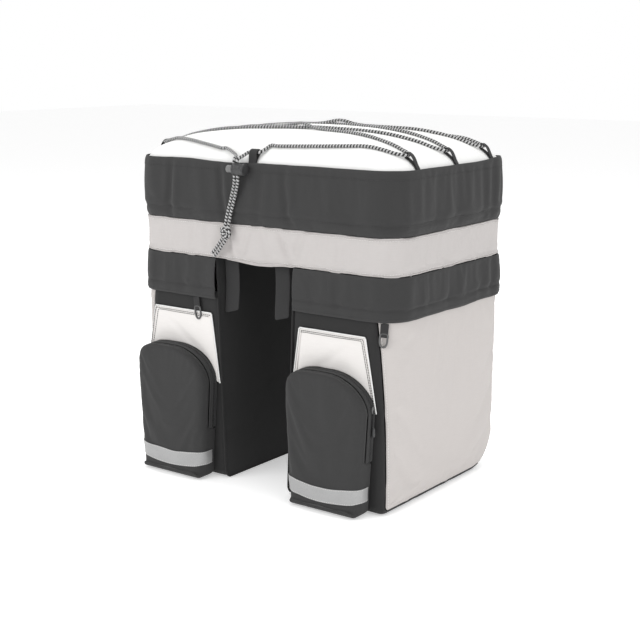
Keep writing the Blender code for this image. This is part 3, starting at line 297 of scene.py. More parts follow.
finishes = {
    "charcoal_cloth": clothMaterial("charcoalCloth", (0.034, 0.034, 0.0345), plainWeave),
    "black_cloth": clothMaterial("blackCloth", (0.019, 0.019, 0.0195), plainWeave),
    "light_grey_cloth": clothMaterial("lightGreyCloth", (0.52, 0.495, 0.485), paleWeave),
    "warm_grey_cloth": clothMaterial("warmGreyCloth", (0.545, 0.515, 0.500), paleWeave),
    "off_white_cloth": clothMaterial("offWhiteCloth", (0.79, 0.765, 0.745), paleWeave),
    "white_cloth": clothMaterial("whiteCloth", (0.86, 0.86, 0.85), paleWeave),
    "webbing": clothMaterial("blackWebbing", (0.024, 0.024, 0.025), ribbed),
    "paleThread": clothMaterial("paleThread", (0.80, 0.79, 0.77), dict(ribbed, dust=0.0)),
    "darkThread": clothMaterial("darkThread", (0.035, 0.035, 0.036), ribbed),
}


def makeCordMaterial():
    made, tree, shader = startMaterial("fleckedCord")
    place = addNode(tree, "ShaderNodeTexCoord")
    braid = addNode(tree, "ShaderNodeGroup", node_tree=braidFlecks)
    feed(tree, braid, {"Vector": place.outputs["UV"]})
    relief = addNode(tree, "ShaderNodeBump", {"Height": braid.outputs["Height"], "Strength": 0.8,
        "Distance": 0.00025})
    feed(tree, shader, {"Base Color": braid.outputs["Color"], "Normal": relief.outputs["Normal"],
        "Roughness": 0.72, "Sheen Weight": 0.1})
    return made


def mouldedMaterial(name, colour, wear, metallic=0.0):
    made, tree, shader = startMaterial(name)
    place = addNode(tree, "ShaderNodeTexCoord")
    grain = addNode(tree, "ShaderNodeGroup", node_tree=mouldGrain)
    feed(tree, grain, {"Vector": place.outputs["Object"], "Color": (*colour, 1.0), "Wear": wear})
    relief = addNode(tree, "ShaderNodeBump", {"Height": grain.outputs["Height"], "Strength": 0.3,
        "Distance": 0.00006})
    feed(tree, shader, {"Base Color": grain.outputs["Color"], "Metallic": metallic,
        "Roughness": grain.outputs["Roughness"], "Normal": relief.outputs["Normal"]})
    return made


def makeTapeMaterial():
    # Silver tape of tiny beads under a clear skin, with a fine honeycomb of seal lines
    made, tree, shader = startMaterial("reflectiveTape")
    place = addNode(tree, "ShaderNodeTexCoord")
    cells = addNode(tree, "ShaderNodeTexVoronoi", {"Vector": place.outputs["UV"], "Scale": 520.0},
        feature="DISTANCE_TO_EDGE")
    line = maths(tree, "LESS_THAN", cells.outputs["Distance"], 0.06)
    beads = addNode(tree, "ShaderNodeTexNoise", {"Vector": place.outputs["UV"], "Scale": 2600.0})
    worn = addNode(tree, "ShaderNodeTexNoise", {"Vector": place.outputs["Object"], "Scale": 40.0,
        "Detail": 3.0})
    level = maths(tree, "MULTIPLY_ADD", beads.outputs["Fac"], 0.06,
        maths(tree, "MULTIPLY_ADD", worn.outputs["Fac"], 0.06, 0.31))
    shade = maths(tree, "SUBTRACT", level, maths(tree, "MULTIPLY", line, 0.03))
    colour = addNode(tree, "ShaderNodeCombineColor", {0: shade, 1: shade, 2: shade})
    relief = addNode(tree, "ShaderNodeBump", {"Height": shade, "Strength": 0.4,
        "Distance": 0.0002})
    feed(tree, shader, {"Base Color": colour.outputs[0], "Normal": relief.outputs["Normal"],
        "Roughness": maths(tree, "MULTIPLY_ADD", worn.outputs["Fac"], 0.2, 0.38),
        "Metallic": 0.25})
    return made


finishes["flecked_cord"] = makeCordMaterial()
finishes["black_plastic"] = mouldedMaterial("blackPlastic", (0.016, 0.016, 0.017), 0.10)
finishes["grey_plastic"] = mouldedMaterial("greyPlastic", (0.17, 0.17, 0.17), 0.18)
finishes["greyMetal"] = mouldedMaterial("greyMetal", (0.09, 0.09, 0.09), 0.12, metallic=0.4)
finishes["reflective_tape"] = makeTapeMaterial()


def makeFloor():
    made, tree, shader = startMaterial("paleFloor")
    place = addNode(tree, "ShaderNodeTexCoord")
    haze = addNode(tree, "ShaderNodeTexNoise", {"Vector": place.outputs["Object"], "Scale": 0.8})
    level = maths(tree, "MULTIPLY_ADD", haze.outputs["Fac"], 0.01, 0.90)
    colour = addNode(tree, "ShaderNodeCombineColor", {0: level, 1: level, 2: level})
    feed(tree, shader, {"Base Color": colour.outputs[0], "Roughness": 0.9,
        "Emission Strength": 0.4, "Emission Color": (1.0, 1.0, 1.0, 1.0)})
    mesh = bpy.data.meshes.new("studioFloor")
    reach = 8.0
    mesh.from_pydata([(-reach, -reach, 0.0), (reach, -reach, 0.0), (reach, reach, 0.0),
        (-reach, reach, 0.0)], [], [(0, 1, 2, 3)])
    mesh.materials.append(made)
    ground = bpy.data.objects.new("studioFloor", mesh)
    scene.collection.objects.link(ground)


makeFloor()
print("camera, lights, floor and materials made")


# Shape helpers

def mix(first, last, share):
    return first + (last - first) * share


def limited(value, low, high):
    return max(low, min(high, value))


def easeIn(value, low, high):
    share = np.clip((value - low) / (high - low), 0.0, 1.0)
    return share * share * (3 - 2 * share)


def ripple(run, pitch, seed):
    # Uneven waves between about -1 and 1, the same each time for one seed
    total = 0.0
    for index in range(5):
        rate = 0.55 + 0.31 * index
        total = total + np.sin(2 * math.pi * run / pitch * rate + seed * (1.7 + index * 2.39)) \
            / (1 + 0.35 * index)
    return total / 2.6


def bump(run, middle, half):
    return np.exp(-((run - middle) / half) ** 2)


def gridMesh(name, grid, uv, wrapRows=False, wrapColumns=False, shade=None):
    rows, columns = grid.shape[:2]
    rowSteps = rows if wrapRows else rows - 1
    columnSteps = columns if wrapColumns else columns - 1
    row, column = np.meshgrid(np.arange(rowSteps), np.arange(columnSteps), indexing="ij")
    nextRow, nextColumn = (row + 1) % rows, (column + 1) % columns
    quads = np.stack([row * columns + column, nextRow * columns + column,
        nextRow * columns + nextColumn, row * columns + nextColumn], -1)
    corners = np.stack([uv[row, column], uv[row + 1, column], uv[row + 1, column + 1],
        uv[row, column + 1]], 2)
    points = grid.reshape(-1, 3) + np.array([0.0, bag["shift"], 0.0])
    mesh = bpy.data.meshes.new(name)
    mesh.from_pydata(points.tolist(), [], quads.reshape(-1, 4).tolist())
    layer = mesh.uv_layers.new(name="clothUv")
    layer.data.foreach_set("uv", corners.reshape(-1).astype(np.float32))
    seam = mesh.attributes.new("seamShade", "FLOAT", "POINT")
    if shade is not None:
        seam.data.foreach_set("value", shade.reshape(-1).astype(np.float32))
    piece = bpy.data.objects.new(name, mesh)
    scene.collection.objects.link(piece)
    return piece


def tidyMesh(piece, inside, weld=0.00004):
    # Joins doubled points and turns the faces away from a point inside
    work = bmesh.new()
    work.from_mesh(piece.data)
    bmesh.ops.remove_doubles(work, verts=work.verts, dist=weld)
    bmesh.ops.dissolve_degenerate(work, edges=work.edges, dist=weld / 4)
    bmesh.ops.recalc_face_normals(work, faces=work.faces)
    middle = Vector((inside[0], inside[1] + bag["shift"], inside[2]))
    facing = sum(face.calc_area() * face.normal.dot(face.calc_center_median() - middle)
        for face in work.faces)
    if facing < 0:
        bmesh.ops.reverse_faces(work, faces=work.faces)
    work.to_mesh(piece.data)
    work.free()


def dress(piece, slotName, wall=None, levels=1):
    piece.data.materials.clear()
    piece.data.materials.append(finishes[slotName])
    piece.data.shade_smooth()
    if wall:
        sheet = piece.modifiers.new("clothWall", "SOLIDIFY")
        sheet.thickness = wall
        sheet.offset = -1.0
        sheet.use_even_offset = False
    if levels:
        smooth = piece.modifiers.new("smooth", "SUBSURF")
        smooth.levels = levels
        smooth.render_levels = levels
    return piece


madePieces = []


def keep(piece, slotName, *replaced, body="bag"):
    madePieces.append((piece, slotName, replaced, body))
    return piece


def surfaceTree(piece):
    graph = bpy.context.evaluated_depsgraph_get()
    return BVHTree.FromObject(piece, graph)


def ontoSurface(tree, points, lift):
    # Points laid on a surface, raised along its normal, in the bag's own frame
    found = []
    for point in points:
        place, normal = tree.find_nearest(Vector((point[0], point[1] + bag["shift"], point[2])))[:2]
        place = place + normal * lift
        found.append((place.x, place.y - bag["shift"], place.z))
    return np.array(found)


def runLengths(points):
    # Length along a path at each of its points
    return np.concatenate([[0.0], np.cumsum(np.linalg.norm(np.diff(points, axis=0), axis=1))])


def resample(points, step):
    points = np.asarray(points, float)
    lengths = runLengths(points)
    count = max(2, int(round(lengths[-1] / step)) + 1)
    stops = np.linspace(0.0, lengths[-1], count)
    return np.stack([np.interp(stops, lengths, points[:, axis]) for axis in range(3)], -1)


def smoothRoute(points, step):
    # A smooth curve through the points, read at an even step
    points = np.asarray(points, float)
    padded = np.vstack([2 * points[0] - points[1], points, 2 * points[-1] - points[-2]])
    route = [points[0]]
    for index in range(1, len(padded) - 2):
        before, start, end, after = padded[index - 1:index + 3]
        for t in np.linspace(0, 1, 13)[1:]:
            route.append(0.5 * (2 * start + (end - before) * t
                + (2 * before - 5 * start + 4 * end - after) * t ** 2
                + (3 * start - before - 3 * end + after) * t ** 3))
    return resample(route, step)


def alongFrames(path, first=None, closed=False):
    # Tangents with two sideways directions that turn as little as they can
    path = np.asarray(path, float)
    if closed:
        tangents = np.roll(path, -1, 0) - np.roll(path, 1, 0)
    else:
        tangents = np.gradient(path, axis=0)
    tangents /= np.linalg.norm(tangents, axis=1)[:, None]
    side = np.array(first if first is not None else (0.0, 0.0, 1.0), float)
    sides = []
    for tangent in tangents:
        side = side - tangent * side.dot(tangent)
        if np.linalg.norm(side) < 1e-6:
            side = np.cross(tangent, (0.3, 0.8, 0.5))
        side = side / np.linalg.norm(side)
        sides.append(side)
    sides = np.array(sides)
    return tangents, sides, np.cross(tangents, sides)


def closeTips(piece):
    work = bmesh.new()
    work.from_mesh(piece.data)
    bmesh.ops.remove_doubles(work, verts=work.verts, dist=0.000002)
    bmesh.ops.recalc_face_normals(work, faces=work.faces)
    work.to_mesh(piece.data)
    work.free()
    return piece


def tube(name, path, radius, sides=12, closed=False, turnLength=0.008, ends=True):
    # A round cord along a path, its UV turning once round and running along it
    path = np.asarray(path, float)
    radii = np.full(len(path), radius) if np.isscalar(radius) else np.asarray(radius)
    tangents, first, second = alongFrames(path, closed=closed)
    lengths = runLengths(path)
    if ends and not closed:
        tip = radii[0] * 0.55
        caps = [(0.0, 0.999), (0.45, 0.86), (0.8, 0.5), (0.92, 0.0)]
        start = [(path[0] - tangents[0] * tip * out, radii[0] * share) for out, share in caps[::-1]]
        end = [(path[-1] + tangents[-1] * tip * out, radii[-1] * share) for out, share in caps]
        path = np.vstack([[p for p, r in start], path, [p for p, r in end]])
        radii = np.concatenate([[r for p, r in start], radii, [r for p, r in end]])
        first = np.vstack([[first[0]] * 4, first, [first[-1]] * 4])
        second = np.vstack([[second[0]] * 4, second, [second[-1]] * 4])
        lengths = np.concatenate([[lengths[0]] * 4, lengths, [lengths[-1]] * 4])
    angles = np.linspace(0, 2 * math.pi, sides, endpoint=False)
    ring = first[:, None] * np.cos(angles)[None, :, None] \
        + second[:, None] * np.sin(angles)[None, :, None]
    grid = path[:, None] + ring * radii[:, None, None]
    if closed:
        lengths = np.append(lengths, lengths[-1] + np.linalg.norm(path[0] - path[-1]))
    turn = np.linspace(0, 1, sides + 1)
    uv = np.stack(np.meshgrid(lengths / turnLength, turn, indexing="ij")[::-1], -1)
    piece = gridMesh(name, grid, uv, wrapRows=closed, wrapColumns=True)
    return closeTips(piece)


def ribbon(name, path, across, width, thickness, closed=False):
    # Flat webbing with softly rounded edges, its width along the given direction
    path = np.asarray(path, float)
    across = np.asarray(across, float)
    tangents = np.gradient(path, axis=0)
    if closed:
        tangents = np.roll(path, -1, 0) - np.roll(path, 1, 0)
    tangents /= np.linalg.norm(tangents, axis=1)[:, None]
    if across.ndim == 1:
        across = np.repeat(across[None], len(path), 0)
    normals = np.cross(tangents, across)
    normals /= np.linalg.norm(normals, axis=1)[:, None]
    half, edge = width / 2, thickness / 2
    section = [(-half, -edge * 0.4), (-half + edge, -edge), (-half * 0.4, -edge * 0.9),
        (half * 0.4, -edge * 0.9), (half - edge, -edge), (half, -edge * 0.4),
        (half, edge * 0.4), (half - edge, edge), (half * 0.4, edge * 0.9),
        (-half * 0.4, edge * 0.9), (-half + edge, edge), (-half, edge * 0.4)]
    grid = np.stack([path + across * a + normals * b for a, b in section], 1)
    lengths = runLengths(path)
    if closed:
        lengths = np.append(lengths, lengths[-1] + np.linalg.norm(path[0] - path[-1]))
    else:
        middle = grid.mean(1, keepdims=True)
        grid = np.concatenate([middle[:1] + (grid[:1] - middle[:1]) * 0.0, grid,
            middle[-1:] + (grid[-1:] - middle[-1:]) * 0.0])
        lengths = np.concatenate([lengths[:1], lengths, lengths[-1:]])
    wide = np.array([a for a, b in section] + [section[0][0]])
    uv = np.stack(np.meshgrid(lengths, wide, indexing="ij"), -1)
    piece = gridMesh(name, grid, uv, wrapRows=closed, wrapColumns=True)
    return closeTips(piece)


def joined(name, parts):
    # One mesh out of several, each keeping its own material
    work = bmesh.new()
    materials = []
    mesh = bpy.data.meshes.new(name)
    for part in parts:
        graph = bpy.context.evaluated_depsgraph_get()
        copy = bpy.data.meshes.new_from_object(part.evaluated_get(graph))
        slot = copy.materials[0]
        if slot not in materials:
            materials.append(slot)
        start = len(work.faces)
        work.from_mesh(copy)
        work.faces.ensure_lookup_table()
        for face in work.faces[start:]:
            face.material_index = materials.index(slot)
        bpy.data.meshes.remove(copy)
        bpy.data.objects.remove(part)
    work.to_mesh(mesh)
    work.free()
    for slot in materials:
        mesh.materials.append(slot)
    piece = bpy.data.objects.new(name, mesh)
    scene.collection.objects.link(piece)
    return piece


# Rows of stitches and zip coils: small bits set along curves

def makeRowTree(name, pivot):
    tree = bpy.data.node_groups.new(name, "GeometryNodeTree")
    tree.interface.new_socket(name="Geometry", in_out="INPUT", socket_type="NodeSocketGeometry")
    for label in ("Pitch", "Along", "Across", "Rise"):
        tree.interface.new_socket(name=label, in_out="INPUT", socket_type="NodeSocketFloat")
    tree.interface.new_socket(name="Material", in_out="INPUT", socket_type="NodeSocketMaterial")
    tree.interface.new_socket(name="Geometry", in_out="OUTPUT", socket_type="NodeSocketGeometry")
    given = tree.nodes.new("NodeGroupInput")
    result = tree.nodes.new("NodeGroupOutput")
    even = addNode(tree, "GeometryNodeResampleCurve",
        {"Curve": given.outputs["Geometry"], "Length": given.outputs["Pitch"]}, mode="LENGTH")
    tangent = tree.nodes.new("GeometryNodeInputTangent")
    turned = addNode(tree, "FunctionNodeAlignRotationToVector",
        {"Vector": tangent.outputs["Tangent"]}, axis="X", pivot_axis=pivot)
    size = addNode(tree, "ShaderNodeCombineXYZ", {"X": given.outputs["Along"],
        "Y": given.outputs["Across"],
        "Z": given.outputs["Rise"]})
    bead = addNode(tree, "GeometryNodeMeshUVSphere", {"Segments": 6, "Rings": 4, "Radius": 0.5})
    bits = addNode(tree, "GeometryNodeInstanceOnPoints",
        {"Points": even.outputs["Curve"], "Instance": bead.outputs["Mesh"],
        "Rotation": turned.outputs["Rotation"], "Scale": size.outputs["Vector"]})
    real = addNode(tree, "GeometryNodeRealizeInstances", {"Geometry": bits.outputs["Instances"]})
    smooth = addNode(tree, "GeometryNodeSetShadeSmooth", {"Geometry": real.outputs["Geometry"]})
    painted = addNode(tree, "GeometryNodeSetMaterial",
        {"Geometry": smooth.outputs["Geometry"],
        "Material": given.outputs["Material"]})
    tree.links.new(painted.outputs["Geometry"], result.inputs["Geometry"])
    return tree


stitchTree = makeRowTree("stitchRows", "AUTO")
coilTree = makeRowTree("zipCoils", "Y")


def rowOfBits(name, paths, tree, finish, pitch, along, across, rise):
    curve = bpy.data.curves.new(name, "CURVE")
    curve.dimensions = "3D"
    for path in paths:
        spline = curve.splines.new("POLY")
        spline.points.add(len(path) - 1)
        for target, point in zip(spline.points, path):
            target.co = (point[0], point[1] + bag["shift"], point[2], 1.0)
    source = bpy.data.objects.new(name + "Path", curve)
    scene.collection.objects.link(source)
    rows = source.modifiers.new("rows", "NODES")
    rows.node_group = tree
    values = {"Pitch": pitch, "Along": along, "Across": across, "Rise": rise,
        "Material": finishes[finish]}
    for item in tree.interface.items_tree:
        if item.in_out == "INPUT" and item.name in values:
            rows[item.identifier] = values[item.name]
    graph = bpy.context.evaluated_depsgraph_get()
    mesh = bpy.data.meshes.new_from_object(source.evaluated_get(graph))
    mesh.name = name
    mesh.materials.clear()
    mesh.materials.append(finishes[finish])
    mesh.polygons.foreach_set("material_index", np.zeros(len(mesh.polygons), np.int32))
    bpy.data.objects.remove(source)
    piece = bpy.data.objects.new(name, mesh)
    scene.collection.objects.link(piece)
    return piece


def stitches(name, paths, finish, pitch=0.0034, long=0.0027, wide=0.00065):
    return rowOfBits(name, paths, stitchTree, finish, pitch, long, wide, wide * 0.8)


# Trunk outline: run 0 is front middle, plus and minus halfOutline meet at back middle

frontRun = halfWidth - bag["corner"]
sideRun = halfDepth - bag["corner"]
cornerRun = bag["corner"] * math.pi / 2
halfOutline = 2 * frontRun + 2 * cornerRun + 2 * sideRun


def trunkOutline(run):
    run = np.asarray(run, float)
    side = np.where(run >= 0, 1.0, -1.0)
    reach = np.abs(run)
    corner = bag["corner"]
    firstAngle = np.clip((reach - frontRun) / corner, 0, math.pi / 2)
    secondStart = frontRun + cornerRun + 2 * sideRun
    secondAngle = np.clip((reach - secondStart) / corner, 0, math.pi / 2)
    x = np.minimum(reach, frontRun) + corner * np.sin(firstAngle) \
        - corner * (1 - np.cos(secondAngle)) - np.maximum(0, reach - secondStart - cornerRun)
    y = -halfDepth + corner * (1 - np.cos(firstAngle)) \
        + np.clip(reach - frontRun - cornerRun, 0, 2 * sideRun) + corner * np.sin(secondAngle)
    angle = firstAngle + secondAngle
    return x * side, y, np.sin(angle) * side, -np.cos(angle)


# Cloth bands of the trunk. The folds' columns: run, depth, half width, lean over the height
bands = {
    "upper": {
    "low": bag["greyTop"] + 0.0004, "high": bag["top"], "swell": 0.0030, "level": 0.0,
    "folds": [(-0.137, 0.0042, 0.005, 0.004), (-0.100, 0.0012, 0.010, -0.006),
    (-0.053, 0.0042, 0.005, -0.008), (-0.020, 0.0014, 0.008, 0.004),
    (0.006, 0.0018, 0.006, 0.010), (0.045, 0.0034, 0.006, -0.010),
    (0.085, 0.0010, 0.010, 0.006), (0.140, 0.0010, 0.012, -0.004),
    (0.189, 0.0024, 0.009, 0.006), (0.215, 0.0014, 0.008, 0.000),
    (0.270, 0.0010, 0.012, 0.006), (0.315, 0.0018, 0.014, 0.000),
    (0.375, 0.0018, 0.007, -0.005), (0.395, 0.0024, 0.006, 0.002),
    (0.422, 0.0026, 0.006, 0.006), (0.445, 0.0016, 0.006, 0.003),
    (0.500, 0.0016, 0.012, 0.004), (0.570, 0.0020, 0.010, -0.006)],
    "cord": 0.0008,
},
    "middle": {
    "low": bag["floorLevel"], "high": bag["greyTop"], "swell": -0.0016, "level": 0.0,
    "folds": [(-0.150, 0.0012, 0.009, -0.006), (-0.103, 0.0010, 0.007, 0.006),
    (-0.048, 0.0044, 0.005, -0.020), (-0.020, 0.0024, 0.004, 0.014),
    (0.012, 0.0016, 0.006, -0.012), (0.041, 0.0042, 0.005, -0.018),
    (0.060, 0.0026, 0.005, 0.016), (0.120, 0.0012, 0.009, 0.008),
    (0.192, 0.0022, 0.009, 0.004), (0.300, 0.0010, 0.014, 0.004),
    (0.400, 0.0020, 0.008, 0.004), (0.425, 0.0018, 0.006, -0.004),
    (0.560, 0.0016, 0.010, 0.004)],
    "cord": 0.0006,
},
    "lower": {
    "low": bag["hemLevel"], "high": bag["floorLevel"] - 0.0004, "swell": 0.0022,
    "level": 0.0010,
    "folds": [(0.085, 0.0014, 0.010, 0.006), (0.120, 0.0018, 0.008, -0.004),
    (0.160, 0.0012, 0.008, 0.004), (0.193, 0.0022, 0.009, 0.002),
    (0.225, 0.0012, 0.009, 0.000), (0.300, 0.0012, 0.014, 0.006),
    (0.372, 0.0014, 0.009, 0.000), (0.398, 0.0022, 0.008, 0.004),
    (0.425, 0.0018, 0.007, -0.002), (0.500, 0.0014, 0.012, 0.004)],
    "cord": 0.0,
},
}


def bandGrid(kind, runs, shares):
    values = bands[kind]
    run, share = np.meshgrid(runs, shares, indexing="ij")
    x, y, across, along = trunkOutline(run)
    high = values["high"] + np.zeros_like(run)
    low = values["low"] + np.zeros_like(run)
    arch = np.sin(math.pi * share)
    out = values["level"] + values["swell"] * arch ** 0.8
    if kind == "upper":
        high = high + 0.0012 * ripple(run, 0.16, 3) + 0.0015 * bump(run, 0.41, 0.03)
    if kind == "middle":
        reach = bag["gapTop"] / 2 + bag["gapShift"]
        open_ = np.clip(1 - (x / reach) ** 2, 0, 1) ** 2 * (along < -0.5)
        low = low - 0.004 * open_
    if kind == "lower":
        low = low + 0.0008 * ripple(run, 0.11, 8)
        out = out + 0.0012 * (1 - share) ** 2
    height = high - low
    level = low + height * share
    for middle, depth, half, lean in values["folds"]:
        places = (middle, -middle) if kind == "lower" else (middle,)
        for place in places:
            distance = run - place - lean * (share - 0.5)
            out = out - depth * np.exp(-(distance / half) ** 2) * arch ** 0.6 \
                + 0.45 * depth * np.exp(-((distance - 1.9 * half) / half) ** 2) * arch ** 0.6
    # Small gathers die away from each seam
    for edge, seed in ((level - low, 5), (high - level, 9)):
        out = out + 0.00045 * ripple(run, 0.022, seed) * np.exp(-edge / 0.010)
        out = out - 0.0010 * np.exp(-(edge / 0.0022) ** 2)
    if kind in ("upper", "lower"):
        # Turned hem: a double layer with a pressed line of stitches
        edge = high - level if kind == "upper" else level - low
        line = level - low - 0.0135
        out = out + 0.0007 * (1 - easeIn(edge, 0.009, 0.012))
        out = out - 0.0009 * np.exp(-(line / 0.0016) ** 2)
        if kind == "upper":
            out = out + 0.0006 * np.exp(-((line - 0.006) / 0.004) ** 2)
    grid = np.stack([x + across * out, y + along * out, level], -1)
    # Seam weight, 1 along both seams: through the seam tint it paints a highlight there on the
    # charcoal bands and shade on the grey band
    seam = np.exp(-((level - low) / 0.0035) ** 2) + np.exp(-((high - level) / 0.0035) ** 2)
    return grid, np.clip(seam, 0, 1)


edgeShares = [0.0, 0.012, 0.03, 0.055, 0.09]
bandShares = np.array(edgeShares + list(np.linspace(0.13, 0.87, 17))
    + [1 - share for share in edgeShares[::-1]])


def makeBand(name, kind, runs, wrap):
    grid, seam = bandGrid(kind, runs, bandShares)
    lengths = runs - runs[0]
    if wrap:
        lengths = np.append(lengths, lengths[-1] + lengths[1])
    uv = np.stack(np.meshgrid(lengths, np.append(grid[0, :, 2], 0)[:len(bandShares)],
        indexing="ij"), -1)
    piece = gridMesh(name, grid, uv, wrapRows=wrap, shade=seam)
    tidyMesh(piece, (0.0, 0.0, 0.3), weld=0.000001)
    return piece


# Lid: a crowned cloth panel, a little pressed in under its cords

lid = {"puff": 0.0022, "contact": 0.0008, "press": 0.013, "steps": 46, "runs": 240}


def lidShare(x, y):
    # 0 in the middle of the lid, 1 on its rim
    x, y = np.abs(np.asarray(x, float)), np.abs(np.asarray(y, float))
    reachX, reachY = halfWidth - bag["lidInset"], halfDepth - bag["lidInset"]
    corner = bag["corner"] - bag["lidInset"]
    low, high = np.full_like(x, 1e-4), np.full_like(x, 2.0)
    for step in range(36):
        share = (low + high) / 2
        overX, overY = x / share - (reachX - corner), y / share - (reachY - corner)
        reach = np.hypot(np.maximum(overX, 0), np.maximum(overY, 0)) \
            + np.minimum(np.maximum(overX, overY), 0)
        low, high = np.where(reach > corner, share, low), np.where(reach > corner, high, share)
    return (low + high) / 2


def lidHeight(x, y):
    share = np.minimum(lidShare(x, y), 1.0)
    return bag["lidRim"] + bag["crown"] * (1 - share ** bag["lidPower"]) ** bag["lidRounding"]


def lidNormal(x, y):
    step = 0.0004
    x, y = x * 0.996, y * 0.996
    slopeX = (lidHeight(x + step, y) - lidHeight(x - step, y)) / (2 * step)
    slopeY = (lidHeight(x, y + step) - lidHeight(x, y - step)) / (2 * step)
    normal = np.stack([-slopeX, -slopeY, np.ones_like(slopeX)], -1)
    return normal / np.linalg.norm(normal, axis=-1, keepdims=True)


# Cord, its loops, its lock and its two free tails. Lengths in cord diameters where a table says so

cordage = {
    "diameter": 0.004, "fleckPitch": 0.0041, "lift": 0.0009, "loopThickness": 0.0010,
    "eyeClearance": 0.0008, "loopRoot": 0.0065, "loopLength": 0.020, "loopWidth": 0.007,
    "loopSpacing": 0.085,
    "frontLength": 0.013, "frontWidth": 0.012, "frontOffset": 0.010, "crossing": 1.25,
    "lockPlace": -0.016, "lockLevel": 0.396, "lockRadius": 0.0075, "lockLength": 0.018,
    "holeOffset": -0.006, "holeSpacing": 0.0050, "seamGap": 0.0003,
}
lockMiddle = np.array([cordage["lockPlace"], -halfDepth - 0.0025 - 0.0006 - cordage["lockRadius"],
    cordage["lockLevel"]])
eyeRadius = cordage["diameter"] / 2 + cordage["eyeClearance"]
eyeHeight = cordage["lift"] + cordage["loopThickness"] + eyeRadius

# Columns: share of the way, sideways bow as a share of it, lift in cord diameters
spanPoints = [(0.07, 0.000, 0.0), (0.20, 0.003, 0.0), (0.41, 0.006, 0.0), (0.50, 0.006, 1.0),
    (0.59, 0.006, 0.0), (0.80, 0.003, 0.0), (0.93, 0.000, 0.0)]
# Columns: inwards from the eye, past the loop's edge, share of the rise from the lid to the eye
loopTurn = [(3.0, 1.9, 0.0), (1.3, 1.2, 0.4), (0.15, 0.5, 0.95)]
# Columns: side, row, end of the loop where the cord comes in, whether it crosses over
lacingOrder = [("left", -1, -1, False), ("right", 0, -1, False), ("left", 1, -1, False),
    ("right", 1, 1, False), ("left", 0, 1, True), ("right", -1, 1, True)]
# Ends over the trunk's edge. Columns: across, up, share of the way from the lock to the wall
leftEndRows = [(-0.25, 1.0, 0.19), (-2.0, 2.0, 1.19)]
rightEndRows = [(0.5, 1.9, 0.81), (0.0, 1.0, 0.09)]
# Columns: across, towards the bag, down, from the foot of the lock
tailRows = [(0.0, 0.0, -0.1), (0.0, 0.02, -0.9), (-0.5, 0.45, -2.6), (-2.2, 1.0, -7.0),
    (-3.9, 1.1, -12.0), (-4.95, 1.1, -16.05)]
endRows = [(-5.8, 1.1, -19.3), (-7.0, 1.1, -20.9), (-8.6, 1.1, -22.9), (-10.4, 1.1, -24.8)]
knotPlace = (-5.3, 1.1, -17.5)


def onLid(x, y, lift):
    height = cordage["diameter"] * (0.5 + lift) + cordage["lift"]
    return np.array([x, y, float(lidHeight(x, y))]) + lidNormal(x, y) * height


def lidSection(rim, inward, along, height):
    step, reach = 0.0002, 0.0
    place = np.array([rim[0], rim[1]], float)
    level = bag["lidRim"]
    while reach < along:
        place = place + np.array(inward[:2]) * step
        newLevel = float(lidHeight(*place))
        reach += math.hypot(step, newLevel - level)
        level = newLevel
    normal = lidNormal(*place)
    tilt = np.array([inward[0], inward[1], 0.0])
    normal = tilt * normal.dot(tilt) + np.array([0.0, 0.0, normal[2]])
    return np.array([place[0], place[1], level]) + normal / np.linalg.norm(normal) * height


def loopEye(rim, inward, length, height):
    along = cordage["loopRoot"] + length - cordage["loopThickness"] - eyeRadius
    return lidSection(rim, inward, along, height)


def loopRims():
    rims = {}
    for side, word in ((-1, "left"), (1, "right")):
        for row in (-1, 0, 1):
            rim = (side * (halfWidth - bag["lidInset"]), row * cordage["loopSpacing"], 0.0)
            rims[(word, row)] = (rim, (-side, 0.0, 0.0))
    return rims


frontRim = ((cordage["lockPlace"] + cordage["frontOffset"], -halfDepth + bag["lidInset"], 0.0),
    (0.0, 1.0, 0.0))


def cordSpan(start, end, raised):
    way = end[:2] - start[:2]
    points = []
    for share, bow, lift in spanPoints:
        x = start[0] + way[0] * share - way[1] * bow
        y = start[1] + way[1] * share + way[0] * bow
        points.append(onLid(x, y, lift * cordage["crossing"] if raised else 0.0))
    return points


def turnPoints(foot, inward, along, half):
    points = []
    for inwards, past, rise in loopTurn:
        place = foot + np.array(inward) * inwards * cordage["diameter"] \
            + np.array(along) * (half + past * cordage["diameter"])
        lift = rise * (eyeHeight - cordage["lift"] - cordage["diameter"] / 2)
        points.append(onLid(place[0], place[1], lift / cordage["diameter"]))
    return points


def edgePoints(hole, rows):
    return [np.array([hole[0] + across * cordage["diameter"], mix(hole[1], -halfDepth, inwards),
        bag["top"] + up * cordage["diameter"]]) for across, up, inwards in rows]


